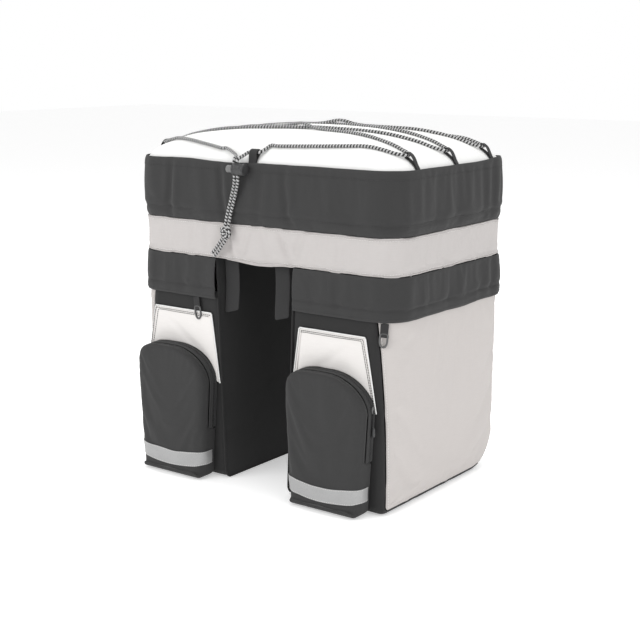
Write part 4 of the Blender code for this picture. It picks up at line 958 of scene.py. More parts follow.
def lacingPath():
    rims = loopRims()
    top = np.array([cordage["holeOffset"], 0.0, cordage["lockRadius"] + cordage["seamGap"]])
    apart = np.array([cordage["holeSpacing"] / 2, 0.0, 0.0])
    leftHole, rightHole = lockMiddle + top - apart, lockMiddle + top + apart
    diameter = cordage["diameter"]
    inside = np.array([0.0, 0.0, -0.004])
    route = [leftHole + inside, leftHole] + edgePoints(leftHole, leftEndRows)
    route.append(onLid(leftHole[0] - 7.5 * diameter, -halfDepth + 3.5 * diameter, 0.0))
    for word, row, entry, raised in lacingOrder:
        rim, inward = rims[(word, row)]
        foot = loopEye(rim, inward, cordage["loopLength"], 0.0)
        half = cordage["loopWidth"] / 2
        arrive = turnPoints(foot, inward, (0.0, entry, 0.0), half)
        leave = turnPoints(foot, inward, (0.0, -entry, 0.0), half)
        route += cordSpan(route[-1], arrive[0], raised) + arrive
        route += [loopEye(rim, inward, cordage["loopLength"], eyeHeight)] + leave[::-1]
    eye = loopEye(*frontRim, cordage["frontLength"], eyeHeight)
    foot = loopEye(*frontRim, cordage["frontLength"], 0.0)
    edge = np.array([cordage["frontWidth"] / 2 + cordage["eyeClearance"], 0.0, 0.0])
    arrive = turnPoints(foot, frontRim[1], (1.0, 0.0, 0.0), cordage["frontWidth"] / 2)
    route += cordSpan(route[-1], arrive[0], False) + arrive + [eye + edge / 2, eye, eye - edge]
    route.append(eye - edge + np.array([-0.625, -0.25, -0.1]) * diameter)
    route += edgePoints(rightHole, rightEndRows) + [rightHole, rightHole + inside]
    return smoothRoute(route, 0.0022)


lacingRoute = lacingPath()


def tailRoute(side):
    # From inside the lock, down through the knot and on to the cord's sealed end
    foot = lockMiddle + np.array([cordage["holeOffset"], 0.0,
        -cordage["lockRadius"] - cordage["seamGap"]])
    apart = side * cordage["holeSpacing"] / 2
    points = [foot + np.array([apart, 0.0, 0.0045])]
    for row in tailRows:
        points.append(foot + np.array(row) * cordage["diameter"] + np.array([apart, 0.0, 0.0]))
    for row in endRows:
        points.append(foot + np.array(row) * cordage["diameter"]
            + np.array([0.75, 0.0, -0.66]) * apart)
    return smoothRoute(points, 0.0035)


def routeLength(path):
    return float(np.linalg.norm(np.diff(path, axis=0), axis=1).sum())


# Knot: both cords wound round once, flattened against the bag
knot = {"wide": 0.0024, "deep": 0.0013, "cord": 0.0018, "turns": 90}


def makeKnot():
    middle = lockMiddle + np.array([cordage["holeOffset"], 0.0,
        -cordage["lockRadius"] - cordage["seamGap"]])
    middle = middle + np.array(knotPlace) * cordage["diameter"]
    loops = []
    for index, spin in enumerate((0.0, 0.9)):
        t = np.linspace(0, 2 * math.pi, knot["turns"], endpoint=False)
        wide = knot["wide"] * (1.0 - 0.12 * index)
        across = (np.sin(t) + 2 * np.sin(2 * t)) * wide
        up = (np.cos(t) - 2 * np.cos(2 * t)) * wide
        deep = -np.sin(3 * t) * knot["deep"]
        turned = np.stack([across * math.cos(spin) - up * math.sin(spin), deep,
            across * math.sin(spin) + up * math.cos(spin)], -1)
        loops.append(tube("knotTurn" + str(index), middle + turned, knot["cord"], sides=10,
            closed=True, turnLength=cordage["fleckPitch"]))
        dress(loops[-1], "flecked_cord", levels=0)
    return joined("tailKnot", loops)


tailKnot = keep(makeKnot(), "flecked_cord", "tail_knot")
for side, word in ((-1, "Left"), (1, "Right")):
    path = tailRoute(side)
    tail = tube("cordTail" + word, path, cordage["diameter"] / 2 - 0.0001, sides=14,
        turnLength=cordage["fleckPitch"])
    dress(tail, "flecked_cord", levels=0)
    keep(tail, "flecked_cord", "cord_tail_" + word.lower(), "cord_end_" + word.lower())
lacing = tube("lacingCord", lacingRoute, cordage["diameter"] / 2, sides=14,
    turnLength=cordage["fleckPitch"])
dress(lacing, "flecked_cord", levels=0)
keep(lacing, "flecked_cord", "lacing_cord")
print("cords made, lacing", round(routeLength(lacingRoute), 3), "m")


def makeLid():
    runs = np.linspace(-halfOutline, halfOutline, lid["runs"], endpoint=False)
    x, y, across, along = trunkOutline(runs)
    rimX, rimY = x - across * bag["lidInset"], y - along * bag["lidInset"]
    inwards = np.linspace(0.0, 1.0, lid["steps"]) ** 1.7
    pointX = rimX[:, None] * (1 - inwards[None, :])
    pointY = rimY[:, None] * (1 - inwards[None, :])
    height = lidHeight(pointX, pointY)
    height[:, 0] = bag["lidRim"]
    tree = BVHTree.FromObject(lacing, bpy.context.evaluated_depsgraph_get())
    raised = np.zeros_like(height)
    for row in range(height.shape[0]):
        for column in range(height.shape[1]):
            spot = Vector((pointX[row, column], pointY[row, column] + bag["shift"],
                height[row, column]))
            distance = tree.find_nearest(spot)[3]
            raised[row, column] = lid["contact"] + lid["puff"] \
                * (1 - math.exp(-(max(distance - 0.001, 0.0) / lid["press"]) ** 2))
    fade = easeIn(inwards, 0.01, 0.12)[None, :]
    wave = 0.0007 * ripple(pointX + pointY * 0.7, 0.11, 4) * ripple(pointY, 0.09, 7)
    tug = 0.0007 * ripple(runs, 0.031, 6)[:, None] * np.exp(-inwards / 0.09)[None, :]
    height = height + (raised + wave) * fade + tug * easeIn(inwards, 0.0, 0.04)[None, :]
    grid = np.stack([pointX, pointY, height], -1)
    uv = np.stack([pointX, pointY], -1)
    uv = np.concatenate([uv, uv[:1]])
    # Seam weight at the rim: through the seam tint it paints shade round the edge of the white lid
    shade = np.exp(-(inwards / 0.02) ** 2)[None, :] + np.zeros_like(height)
    piece = gridMesh("lidPanel", grid, uv, wrapRows=True, shade=shade)
    tidyMesh(piece, (0.0, 0.0, 0.3))
    return dress(piece, "white_cloth", wall=bag["cloth"], levels=1)


lidPanel = keep(makeLid(), "white_cloth", "top_panel")
print("lid made")


# Webbing loops that hold the cord, each folded round it and sewn down at its root

def makeLoop(name, rim, inward, length, width):
    tip = cordage["loopRoot"] + length - cordage["loopThickness"] - eyeRadius
    middle = eyeRadius + cordage["loopThickness"] / 2
    low = cordage["lift"] + cordage["loopThickness"] / 2
    outline = []
    for share in np.linspace(0.0, 1.0, 9)[:-1]:
        pinch = easeIn(share, 0.15, 0.9)
        outline.append((mix(cordage["loopRoot"] - 0.004, tip, share),
            mix(low, eyeHeight - middle, pinch)))
    for angle in np.linspace(-math.pi / 2, math.pi / 2, 13):
        outline.append((tip + middle * math.cos(angle), eyeHeight + middle * math.sin(angle)))
    for share in np.linspace(1.0, 0.0, 9)[1:]:
        pinch = easeIn(share, 0.15, 0.9)
        outline.append((mix(cordage["loopRoot"] - 0.004, tip, share),
            mix(low + cordage["loopThickness"] * 1.05, eyeHeight + middle, pinch)))
    path = np.array([lidSection(rim, inward, max(along, 0.001), height)
        for along, height in outline])
    across = (-inward[1], inward[0], 0.0)
    band = ribbon(name + "Band", path, across, width, cordage["loopThickness"] * 0.9)
    dress(band, "webbing", levels=1)
    crosses = []
    for along in (0.0015, 0.0035, 0.0055):
        ends = []
        for share in (-0.42, 0.42):
            spot = lidSection(rim, inward, cordage["loopRoot"] + along,
                low + cordage["loopThickness"] * 1.6)
            ends.append(spot + np.array(across) * width * share)
        crosses.append(resample(ends, 0.0005))
    tack = stitches(name + "Tack", crosses, "darkThread", pitch=0.0011, long=0.0012, wide=0.0006)
    return joined(name, [band, tack])


for (word, row), (rim, inward) in loopRims().items():
    name = "cordLoop" + word.title() + str(row + 2)
    keep(makeLoop(name, rim, inward, cordage["loopLength"], cordage["loopWidth"]), "webbing",
        "cord_loop_" + word + "_" + str(row + 2))
keep(makeLoop("lockLoop", *frontRim, cordage["frontLength"], cordage["frontWidth"]), "webbing",
    "lock_loop")
print("webbing loops made")


# Cord lock: a fluted barrel with two cord holes, and the button that slides into its end

lock = {"flutes": 14, "fluteDepth": 0.00055, "sides": 84, "collar": 0.0026, "bore": 0.0049}


def makeBarrel():
    half, radius = cordage["lockLength"] / 2, cordage["lockRadius"] - 0.0001
    profile = [(-half + 0.009, 0.0), (-half + 0.009, lock["bore"]), (-half + 0.0003, lock["bore"]),
        (-half, lock["bore"] + 0.0003), (-half, radius - 0.0014),
        (-half + 0.0004, radius - 0.0005), (-half + 0.0012, radius),
        (-half + 0.0026, radius), (-half + 0.0032, radius - 0.0005)]
    profile += [(x, radius - 0.0004) for x in np.linspace(-half + 0.004, half - 0.004, 9)]
    profile += [(half - 0.0032, radius - 0.0005), (half - 0.0026, radius),
        (half - 0.0012, radius), (half - 0.0004, radius - 0.0005),
        (half - 0.0001, radius - 0.0014), (half, radius * 0.5), (half, 0.0)]
    angles = np.linspace(0, 2 * math.pi, lock["sides"], endpoint=False)
    grid = np.zeros((len(profile), lock["sides"], 3))
    for row, (x, r) in enumerate(profile):
        inner = 9 <= row < 18
        flute = lock["fluteDepth"] * (0.5 + 0.5 * np.cos(angles * lock["flutes"])) if inner else 0
        grid[row, :, 0] = x
        grid[row, :, 1] = (r - flute) * np.cos(angles)
        grid[row, :, 2] = (r - flute) * np.sin(angles)
    grid = grid + lockMiddle
    uv = np.zeros((len(profile), lock["sides"] + 1, 2))
    barrel = gridMesh("lockBarrel", grid, uv, wrapColumns=True)
    tidyMesh(barrel, tuple(lockMiddle), weld=0.000002)
    dress(barrel, "black_plastic", levels=0)
    parts = [barrel]
    for side in (-1, 1):
        for up in (-1, 1):
            middle = lockMiddle + np.array([
                cordage["holeOffset"] + side * cordage["holeSpacing"] / 2,
                0.0, up * (cordage["lockRadius"] - 0.0006)])
            angle = np.linspace(0, 2 * math.pi, 20, endpoint=False)
            ring = middle + lock["collar"] * np.stack([np.cos(angle) * 0.92, np.sin(angle),
                angle * 0], -1)
            collar = tube("collar", ring, 0.0005, sides=8, closed=True)
            parts.append(dress(collar, "black_plastic", levels=0))
    return joined("cordLockBarrel", parts)


def makeButton():
    low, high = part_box("cord_lock_button")
    middle = (np.array(low) + np.array(high)) / 2 - np.array([0.0, bag["shift"], 0.0])
    left, right, radius = low[0], high[0], (high[2] - low[2]) / 2 - 0.00005
    profile = [(left, 0.0), (left, radius * 0.55), (left + 0.0004, radius * 0.82),
        (left + 0.0012, radius)]
    for ridge in range(4):
        start = left + 0.0022 + ridge * 0.0016
        profile += [(start, radius), (start + 0.0003, radius - 0.0005),
            (start + 0.0008, radius - 0.0005), (start + 0.0011, radius)]
    profile += [(right - 0.0004, radius), (right, radius - 0.0004), (right, 0.0)]
    angles = np.linspace(0, 2 * math.pi, 40, endpoint=False)
    grid = np.stack([np.stack([np.full(40, x), middle[1] + r * np.cos(angles),
        middle[2] + r * np.sin(angles)], -1) for x, r in profile])
    uv = np.zeros((len(profile), 41, 2))
    piece = gridMesh("cordLockButton", grid, uv, wrapColumns=True)
    tidyMesh(piece, tuple(middle), weld=0.000002)
    return dress(piece, "grey_plastic", levels=0)


keep(makeBarrel(), "black_plastic", "cord_lock_body")
keep(makeButton(), "grey_plastic", "cord_lock_button", body="lock_button")
print("cord lock made")


# Cloth that settles: walls sewn along their edges, slightly too large for their place

cloth = {"frames": 16, "quality": 5, "mass": 0.25, "stiffness": 18.0, "bending": 0.35}
settling = []


def heldByPlace(piece, grid, held):
    # The weight of each point, looked up by its place, because doubled points are joined by now
    weights = {tuple(np.round(point, 5)): weight for point, weight
        in zip(grid.reshape(-1, 3), held.reshape(-1))}
    found = []
    for vertex in piece.data.vertices:
        key = tuple(np.round((vertex.co.x, vertex.co.y - bag["shift"], vertex.co.z), 5))
        found.append(weights.get(key, 0.0))
    return found


def letSettle(piece, held, slack, pressure, cap, gravity=0.3):
    # held runs from 1 where the cloth is sewn down to 0 where it is free
    group = piece.vertex_groups.new(name="held")
    for index, weight in enumerate(held):
        group.add([index], float(weight), "REPLACE")
    start = np.array([vertex.co for vertex in piece.data.vertices])
    modifier = piece.modifiers.new("settle", "CLOTH")
    values = modifier.settings
    values.quality = cloth["quality"]
    values.mass = cloth["mass"]
    values.tension_stiffness = cloth["stiffness"]
    values.compression_stiffness = cloth["stiffness"]
    values.shear_stiffness = 4.0
    values.bending_stiffness = cloth["bending"]
    values.air_damping = 3.0
    values.vertex_group_mass = "held"
    values.shrink_min = -slack
    values.use_pressure = True
    values.uniform_pressure_force = pressure
    values.effector_weights.gravity = gravity
    modifier.collision_settings.use_collision = False
    modifier.point_cache.frame_start = 1
    modifier.point_cache.frame_end = cloth["frames"]
    settling.append((piece, start, np.asarray(held), cap))


def finishSettling():
    for number in range(1, cloth["frames"] + 1):
        if settling:
            scene.frame_set(number)
    graph = bpy.context.evaluated_depsgraph_get()
    for piece, start, held, cap in settling:
        result = piece.evaluated_get(graph).to_mesh()
        moved = np.array([vertex.co for vertex in result.vertices]) - start
        piece.evaluated_get(graph).to_mesh_clear()
        reach = np.linalg.norm(moved, axis=1, keepdims=True)
        moved = moved * (cap * np.tanh(reach / cap) / np.maximum(reach, 1e-9))
        moved[:, 2] *= 0.6
        piece.modifiers.remove(piece.modifiers["settle"])
        piece.vertex_groups.clear()
        piece.data.vertices.foreach_set("co", (start + moved).reshape(-1).astype(np.float32))
        print("settled", piece.name, "mean", round(float(reach.mean()) * 1000, 2), "mm, most",
            round(float(reach.max()) * 1000, 2), "mm")
    settling.clear()
    scene.frame_set(1)


# Trunk walls

trunk = {"step": 0.004, "slack": 0.012, "pressure": 0.5, "cap": 0.0035}
ringRuns = np.linspace(-halfOutline, halfOutline, int(2 * halfOutline / trunk["step"]),
    endpoint=False)


def heldShares(rows, shares, edge=0.10):
    weight = 1 - easeIn(np.minimum(shares, 1 - shares), edge * 0.3, edge)
    return np.tile(weight, rows)


walls = {}
walls["upper"] = makeBand("upperBand", "upper", ringRuns, True)
walls["middle"] = makeBand("greyBand", "middle", ringRuns, True)
lowerRuns = {}
for side, word in ((-1, "Left"), (1, "Right")):
    start = bag["gapTop"] / 2 + side * bag["gapShift"]
    lowerRuns[word] = side * np.linspace(start, 2 * halfOutline / 2 - start, 142)
    walls["lower" + word] = makeBand("lowerBand" + word, "lower", lowerRuns[word], False)
for kind, piece in walls.items():
    rows = len(piece.data.vertices) // len(bandShares)
    held = heldShares(rows, bandShares)
    if kind.startswith("lower"):
        held = np.maximum(held, np.tile(1 - easeIn(bandShares, 0.15, 0.35), rows))
        held = held.reshape(rows, -1)
        held[:3] = 1.0
        held[-3:] = 1.0
        held = held.reshape(-1)
    letSettle(piece, held, trunk["slack"], trunk["pressure"], trunk["cap"])


def makeTrunkFloor():
    inset = 0.0045
    runs = np.linspace(-halfOutline, halfOutline, 200, endpoint=False)
    x, y, across, along = trunkOutline(runs)
    inwards = np.linspace(0.0, 1.0, 22)
    gridX = (x - across * inset)[:, None] * (1 - inwards)
    gridY = (y - along * inset)[:, None] * (1 - inwards)
    share = easeIn(inwards, 0.0, 0.15)[None, :]
    level = bag["floorLevel"] + 0.0004 + 0.0009 * share * (1 + ripple(gridX * 1.3 + gridY, 0.13, 2))
    grid = np.stack([gridX, gridY, level], -1)
    uv = np.stack([gridX, gridY], -1)
    piece = gridMesh("trunkFloor", grid, np.concatenate([uv, uv[:1]]), wrapRows=True)
    tidyMesh(piece, (0.0, 0.0, 0.5))
    return dress(piece, "black_cloth", wall=0.002, levels=0)


keep(makeTrunkFloor(), "black_cloth", "trunk_floor")
print("trunk walls laid out")


# Panniers, shaped on the right and mirrored for the left

pannier = {
    "outerSetback": 0.0015, "taper": 0.012, "edgeTop": 0.036, "edgeBottom": 0.012,
    "frontRadius": 0.012, "backRadius": 0.050, "seamTop": 15.0, "seamBottom": 58.0,
    "bulge": 0.0035, "spineFoot": 0.070, "top": 0.242, "slack": 0.008, "pressure": 0.4,
}
backPlane = -frontPlane


def stripPoint(run, top):
    # Down the front, under the bottom and up the back, with the outward direction
    first, second = pannier["frontRadius"], pannier["backRadius"]
    lengths = (top - first, first * math.pi / 2, backPlane - frontPlane - first - second,
        second * math.pi / 2)
    if run <= lengths[0]:
        return frontPlane, top - run, -1.0, 0.0
    run -= lengths[0]
    if run <= lengths[1]:
        along, up = -math.cos(run / first), -math.sin(run / first)
        return frontPlane + first * (1 + along), first * (1 + up), along, up
    run -= lengths[1]
    if run <= lengths[2]:
        return frontPlane + first + run, 0.0, 0.0, -1.0
    run -= lengths[2]
    if run <= lengths[3]:
        along, up = math.sin(run / second), -math.cos(run / second)
        return backPlane - second * (1 - along), second * (1 + up), along, up
    return backPlane, second + run - lengths[3], 1.0, 0.0


def stripRuns(top):
    first, second = pannier["frontRadius"], pannier["backRadius"]
    levels = list(np.linspace(top, pannier["spineFoot"], 40))
    runs = [top - level for level in levels]
    runs += list(np.linspace(top - pannier["spineFoot"], top - first, 13)[1:])
    start = top - first
    for length, count in ((first * math.pi / 2, 6), (backPlane - frontPlane - first - second, 34),
            (second * math.pi / 2, 16)):
        runs += list(np.linspace(start, start + length, count + 1)[1:])
        start += length
    runs += [start + level - second for level in levels[::-1]]
    return np.array(runs)


def outerX(z):
    return halfWidth - pannier["outerSetback"] - pannier["taper"] * (1 - z / pannier["top"])


def innerX(z, shift):
    return mix(bag["gapBottom"], bag["gapTop"], z / bag["floorLevel"]) / 2 + shift


def edgeRadius(z):
    return mix(pannier["edgeBottom"], pannier["edgeTop"], z / pannier["top"])


def seamAngle(z):
    return math.radians(mix(pannier["seamBottom"], pannier["seamTop"], z / pannier["top"]))


def edgePoint(run, angle, depth):
    y, z, along, up = stripPoint(run, pannier["top"])
    radius = edgeRadius(z)
    inset = radius * (1 - math.cos(angle)) + depth * math.cos(angle)
    x = outerX(z) - radius + (radius - depth) * math.sin(angle)
    return np.array([x, y - along * inset, z - up * inset])


def sidePoint(run, share, depth):
    y, z, along, up = stripPoint(run, pannier["top"])
    radius = edgeRadius(z)
    edgeY, edgeZ = y - along * radius, z - up * radius
    target = limited(edgeZ, pannier["spineFoot"], pannier["top"])
    height = mix(edgeZ, target, share)
    fade = limited((bag["hemLevel"] - height) / (bag["hemLevel"] / 4), 0.0, 1.0)
    swell = pannier["bulge"] * math.sin(share * math.pi / 2) * fade
    x = mix(outerX(z), outerX(target), share) + swell - depth
    return np.array([x, mix(edgeY, 0.0, share), height])


def mirroredGrid(grid, side):
    return grid * np.array([side, 1.0, 1.0])


def makeSidePanel(word, side):
    runs = stripRuns(pannier["top"])
    angleSteps = np.linspace(0.0, 1.0, 10)[:-1]
    shares = np.linspace(0.0, 1.0, 24) ** 0.85
    rows, shades, held, uv = [], [], [], []
    for run in runs:
        y, z, along, up = stripPoint(run, pannier["top"])
        radius = edgeRadius(z)
        seam = seamAngle(z) + 0.0004 / radius
        row = []
        for step in angleSteps:
            angle = mix(seam, math.pi / 2, step)
            distance = (angle - seam) * radius
            pucker = 0.0016 * ripple(run, 0.026, 11 + side) * math.exp(-distance / 0.011)
            dip = 0.0010 * math.exp(-(distance / 0.0022) ** 2)
            row.append((edgePoint(run, angle, dip - pucker * easeIn(distance, 0.0, 0.003)),
                distance))
        wrap = (math.pi / 2 - seam) * radius
        for share in shares:
            point = sidePoint(run, share, 0.0)
            reach = np.linalg.norm(point - sidePoint(run, 0.0, 0.0))
            distance = wrap + reach
            pucker = 0.0016 * ripple(run, 0.026, 11 + side) * math.exp(-distance / 0.011)
            broad = 0.0008 * ripple(point[1] * 0.8 + point[2] * 0.5, 0.085, 3) \
                * ripple(point[2], 0.10, 5) * easeIn(share, 0.0, 0.4)
            row.append((point + np.array([pucker + broad, 0.0, 0.0]), distance))
        rows.append([point for point, distance in row])
        # Seam weight: through the seam tint it paints shade along the warm grey panel's seam
        shades.append([math.exp(-(distance / 0.003) ** 2) for point, distance in row])
        held.append([1 - float(easeIn(distance, 0.003, 0.016)) for point, distance in row])
        extra = np.array([max(0.0, outerX(z) - point[0]) for point, distance in row])
        flat = np.array([[point[1], point[2]] for point, distance in row])
        uv.append(flat + extra[:, None] * np.array([along, up]))
    grid = mirroredGrid(np.array(rows), side)
    held = np.array(held)
    top = grid[:, :, 2] > bag["hemLevel"] - 0.006
    held[top] = 1.0
    piece = gridMesh("sidePanel" + word, grid, np.array(uv), shade=np.array(shades))
    tidyMesh(piece, (side * 0.12, 0.0, 0.13))
    found = heldByPlace(piece, grid, held)
    letSettle(piece, found, pannier["slack"], pannier["pressure"], 0.0035, gravity=0.1)
    seamLine = np.array([mirroredGrid(edgePoint(run, seamAngle(stripPoint(run, pannier["top"])[1])
        + 0.0032 / edgeRadius(stripPoint(
        run, pannier["top"])[1]), -0.0002), side) for run in runs])
    return piece, seamLine


def makeGusset(word, side, shift):
    runs = stripRuns(pannier["top"])
    rows, uv, shades = [], [], []
    for run in runs:
        y, z, along, up = stripPoint(run, pannier["top"])
        radius = edgeRadius(z)
        start, end = innerX(z, shift) + 0.0022, outerX(z) - radius
        seam = seamAngle(z) - 0.0004 / radius
        row = []
        for x in np.linspace(start, end, 16):
            out = 0.0005 * ripple(run + x, 0.05, 6) - 0.0007 * math.exp(-((x - start) / 0.003) ** 2)
            row.append(np.array([x, y + along * out, z + up * out]))
        for angle in np.linspace(0.0, seam, 9)[1:]:
            distance = (seam - angle) * radius
            dip = 0.0010 * math.exp(-(distance / 0.0022) ** 2) \
                - 0.0007 * ripple(run, 0.024, 21) * math.exp(-distance / 0.008)
            row.append(edgePoint(run, angle, dip))
        row = np.array(row)
        rows.append(row)
        lengths = runLengths(row)
        uv.append(np.stack([lengths, np.full(len(row), run)], -1))
        # Seam weight at both edges: through the seam tint it paints a highlight along the black
        # gusset's seams
        shades.append(np.exp(-(lengths / 0.003) ** 2)
            + np.exp(-((lengths[-1] - lengths) / 0.003) ** 2))
    piece = gridMesh("gusset" + word, mirroredGrid(np.array(rows), side), np.array(uv),
        shade=np.clip(np.array(shades), 0, 1))
    tidyMesh(piece, (side * 0.12, 0.0, 0.13))
    return dress(piece, "black_cloth", wall=bag["cloth"], levels=1)


def makeInnerPanel(word, side, shift):
    top = bag["floorLevel"] - 0.0004
    rows, uv, shades = [], [], []
    for run in stripRuns(top):
        y, z = stripPoint(run, top)[:2]
        target = limited(z, pannier["spineFoot"], top)
        row, places = [], []
        for share in np.linspace(0.0, 1.0, 26) ** 1.3:
            height = mix(z, target, share)
            place = mix(y, 0.0, share)
            reach = abs(y - place) + abs(z - height)
            sag = 0.0016 * ripple(place + 0.4 * height, 0.12, 4) * easeIn(reach, 0.0, 0.05)
            pucker = 0.0007 * ripple(run, 0.03, 15) * math.exp(-reach / 0.014)
            x = innerX(height, shift) + sag + pucker + 0.0008 * math.exp(-(reach / 0.0025) ** 2)
            row.append((x, place, height))
            # Seam weight: through the seam tint it paints a highlight along the black inner panel's
            # sewn edge
            places.append(math.exp(-(reach / 0.003) ** 2))
        rows.append(row)
        uv.append([(point[1], point[2]) for point in row])
        shades.append(places)
    piece = gridMesh("innerPanel" + word, mirroredGrid(np.array(rows), side), np.array(uv),
        shade=np.array(shades))
    tidyMesh(piece, (side * 0.12, 0.0, 0.13))
    return dress(piece, "black_cloth", wall=bag["cloth"], levels=1)


def pannierPieces(word, side):
    shift = side * bag["gapShift"]
    panel, seamLine = makeSidePanel(word, side)
    low = word.lower()
    keep(makeGusset(word, side, shift), "black_cloth", "gusset_" + low)
    keep(makeInnerPanel(word, side, shift), "black_cloth", "inner_panel_" + low)
    corner = []
    for run in stripRuns(pannier["top"]):
        y, z, along, up = stripPoint(run, pannier["top"])
        corner.append((side * (innerX(z, shift) + 0.0007), y + along * 0.0003,
            max(z + up * 0.0003, 0.0014)))
    corner = [point for point in corner if point[2] < bag["hemLevel"] + 0.004]
    rim = tube("innerPiping" + word + "0", resample(corner, 0.004), 0.0012, sides=8,
        turnLength=0.002)
    keep(dress(rim, "black_cloth", levels=0), "black_cloth")
    return panel, seamLine


panels = {word: pannierPieces(word, side) for side, word in ((-1, "Left"), (1, "Right"))}
print("panniers laid out")


# Pockets

pocket = {
    "halfTop": 0.058, "halfFoot": 0.050, "inset": 0.080, "depth": 0.030, "spring": 0.125,
    "rise": 0.043, "foot": 0.002, "spineFoot": 0.012, "edge": 0.016, "topEdge": 0.009,
    "leftPower": 4.0, "rightPower": 1.9, "footRadius": 0.006, "bulge": 0.003,
    "zipWidth": 0.014, "zipStart": 0.066,
    "stripFoot": 0.019, "stripHeight": 0.018, "stripSag": 0.004, "slack": 0.010, "pressure": 0.5,
    "seam": 0.0006,
}


def shoulderPower(right):
    # Both pockets have a square shoulder on their left and a rounder one on their right
    return pocket["rightPower"] if right else pocket["leftPower"]


def archPoint(angle, grow, side):
    half, rise = pocket["halfTop"] + grow, pocket["rise"] + grow
    cosine, sine = math.cos(angle), math.sin(angle)
    shape = shoulderPower(cosine * side > 0)
    x = math.copysign(half * abs(cosine) ** (2 / shape), cosine)
    z = pocket["spring"] + rise * abs(sine) ** (2 / shape)
    slope = np.array([math.copysign((abs(x) / half) ** (shape - 1) / half, cosine),
        ((z - pocket["spring"]) / rise) ** (shape - 1) / rise])
    slope = slope / np.linalg.norm(slope)
    return x, z, slope[0], slope[1]


def pocketHalf(z):
    return mix(pocket["halfFoot"], pocket["halfTop"], z / pocket["spring"])


def pocketSide(z):
    normal = np.array([pocket["spring"], pocket["halfFoot"] - pocket["halfTop"]])
    normal = normal / np.linalg.norm(normal)
    return pocketHalf(z), z, normal[0], normal[1]


def archAngles(count, side):
    # Angles that part the arch about evenly along its length
    angles = np.linspace(0.0, math.pi / 2, 800)
    points = np.array([archPoint(angle, 0.0, side)[:2] for angle in angles])
    lengths = runLengths(points)
    return np.interp(np.linspace(0.0, lengths[-1], count + 1), lengths, angles)


def halfStations(side):
    corner = pocket["footRadius"] + pocket["foot"]
    run = pocketHalf(corner) - pocket["footRadius"]
    right = [(run * share, pocket["foot"], 0.0, -1.0) for share in np.linspace(0.0, 0.93, 11)]
    for angle in np.linspace(0.0, math.pi / 2, 6):
        right.append((run + pocket["footRadius"] * math.sin(angle),
            corner - pocket["footRadius"] * math.cos(angle), math.sin(angle), -math.cos(angle)))
    start = pocket["zipStart"]
    levels = list(np.linspace(corner, start, 14)[1:]) + [start + pocket["seam"]]
    levels += list(np.linspace(start, pocket["spring"], 14)[1:])
    right += [pocketSide(level) for level in levels]
    return right + [archPoint(angle, 0.0, side) for angle in archAngles(26, side)[1:-1]]


def pocketStations(side):
    top = [(0.0, pocket["spring"] + pocket["rise"], 0.0, 1.0)]
    left = [(-x, z, -across, up) for x, z, across, up in halfStations(-side)[1:][::-1]]
    return halfStations(side) + top + left


def pocketEdge(up):
    return mix(pocket["edge"], pocket["footRadius"] if up < 0 else pocket["topEdge"], abs(up))


def pocketPoint(station, across, depth, centre):
    # across 0 to 1 is the wall, 1 to 2 its rounded edge, 2 to 3 the face
    x, z, nx, nz = station
    edge = pocketEdge(nz)
    full = pocket["depth"]
    if across <= 1.0:
        inset, forward = depth, across * (full - edge)
    elif across <= 2.0:
        angle = (across - 1.0) * math.pi / 2
        inset = edge * (1 - math.cos(angle)) + depth * math.cos(angle)
        forward = full - edge + (edge - depth) * math.sin(angle)
    else:
        share = across - 2.0
        faceX, faceZ = x - nx * edge, z - nz * edge
        target = limited(faceZ, pocket["spineFoot"], pocket["spring"])
        swell = pocket["bulge"] * math.sin(share * math.pi / 2)
        return np.array([centre + faceX * (1 - share), frontPlane - full - swell + depth,
            mix(faceZ, target, share)])
    return np.array([centre + x - nx * inset, frontPlane - forward, z - nz * inset])


def wallShare(station, forward):
    return forward / (pocket["depth"] - pocketEdge(station[3]))


def inZip(station):
    return station[1] > pocket["zipStart"] + pocket["seam"] / 2


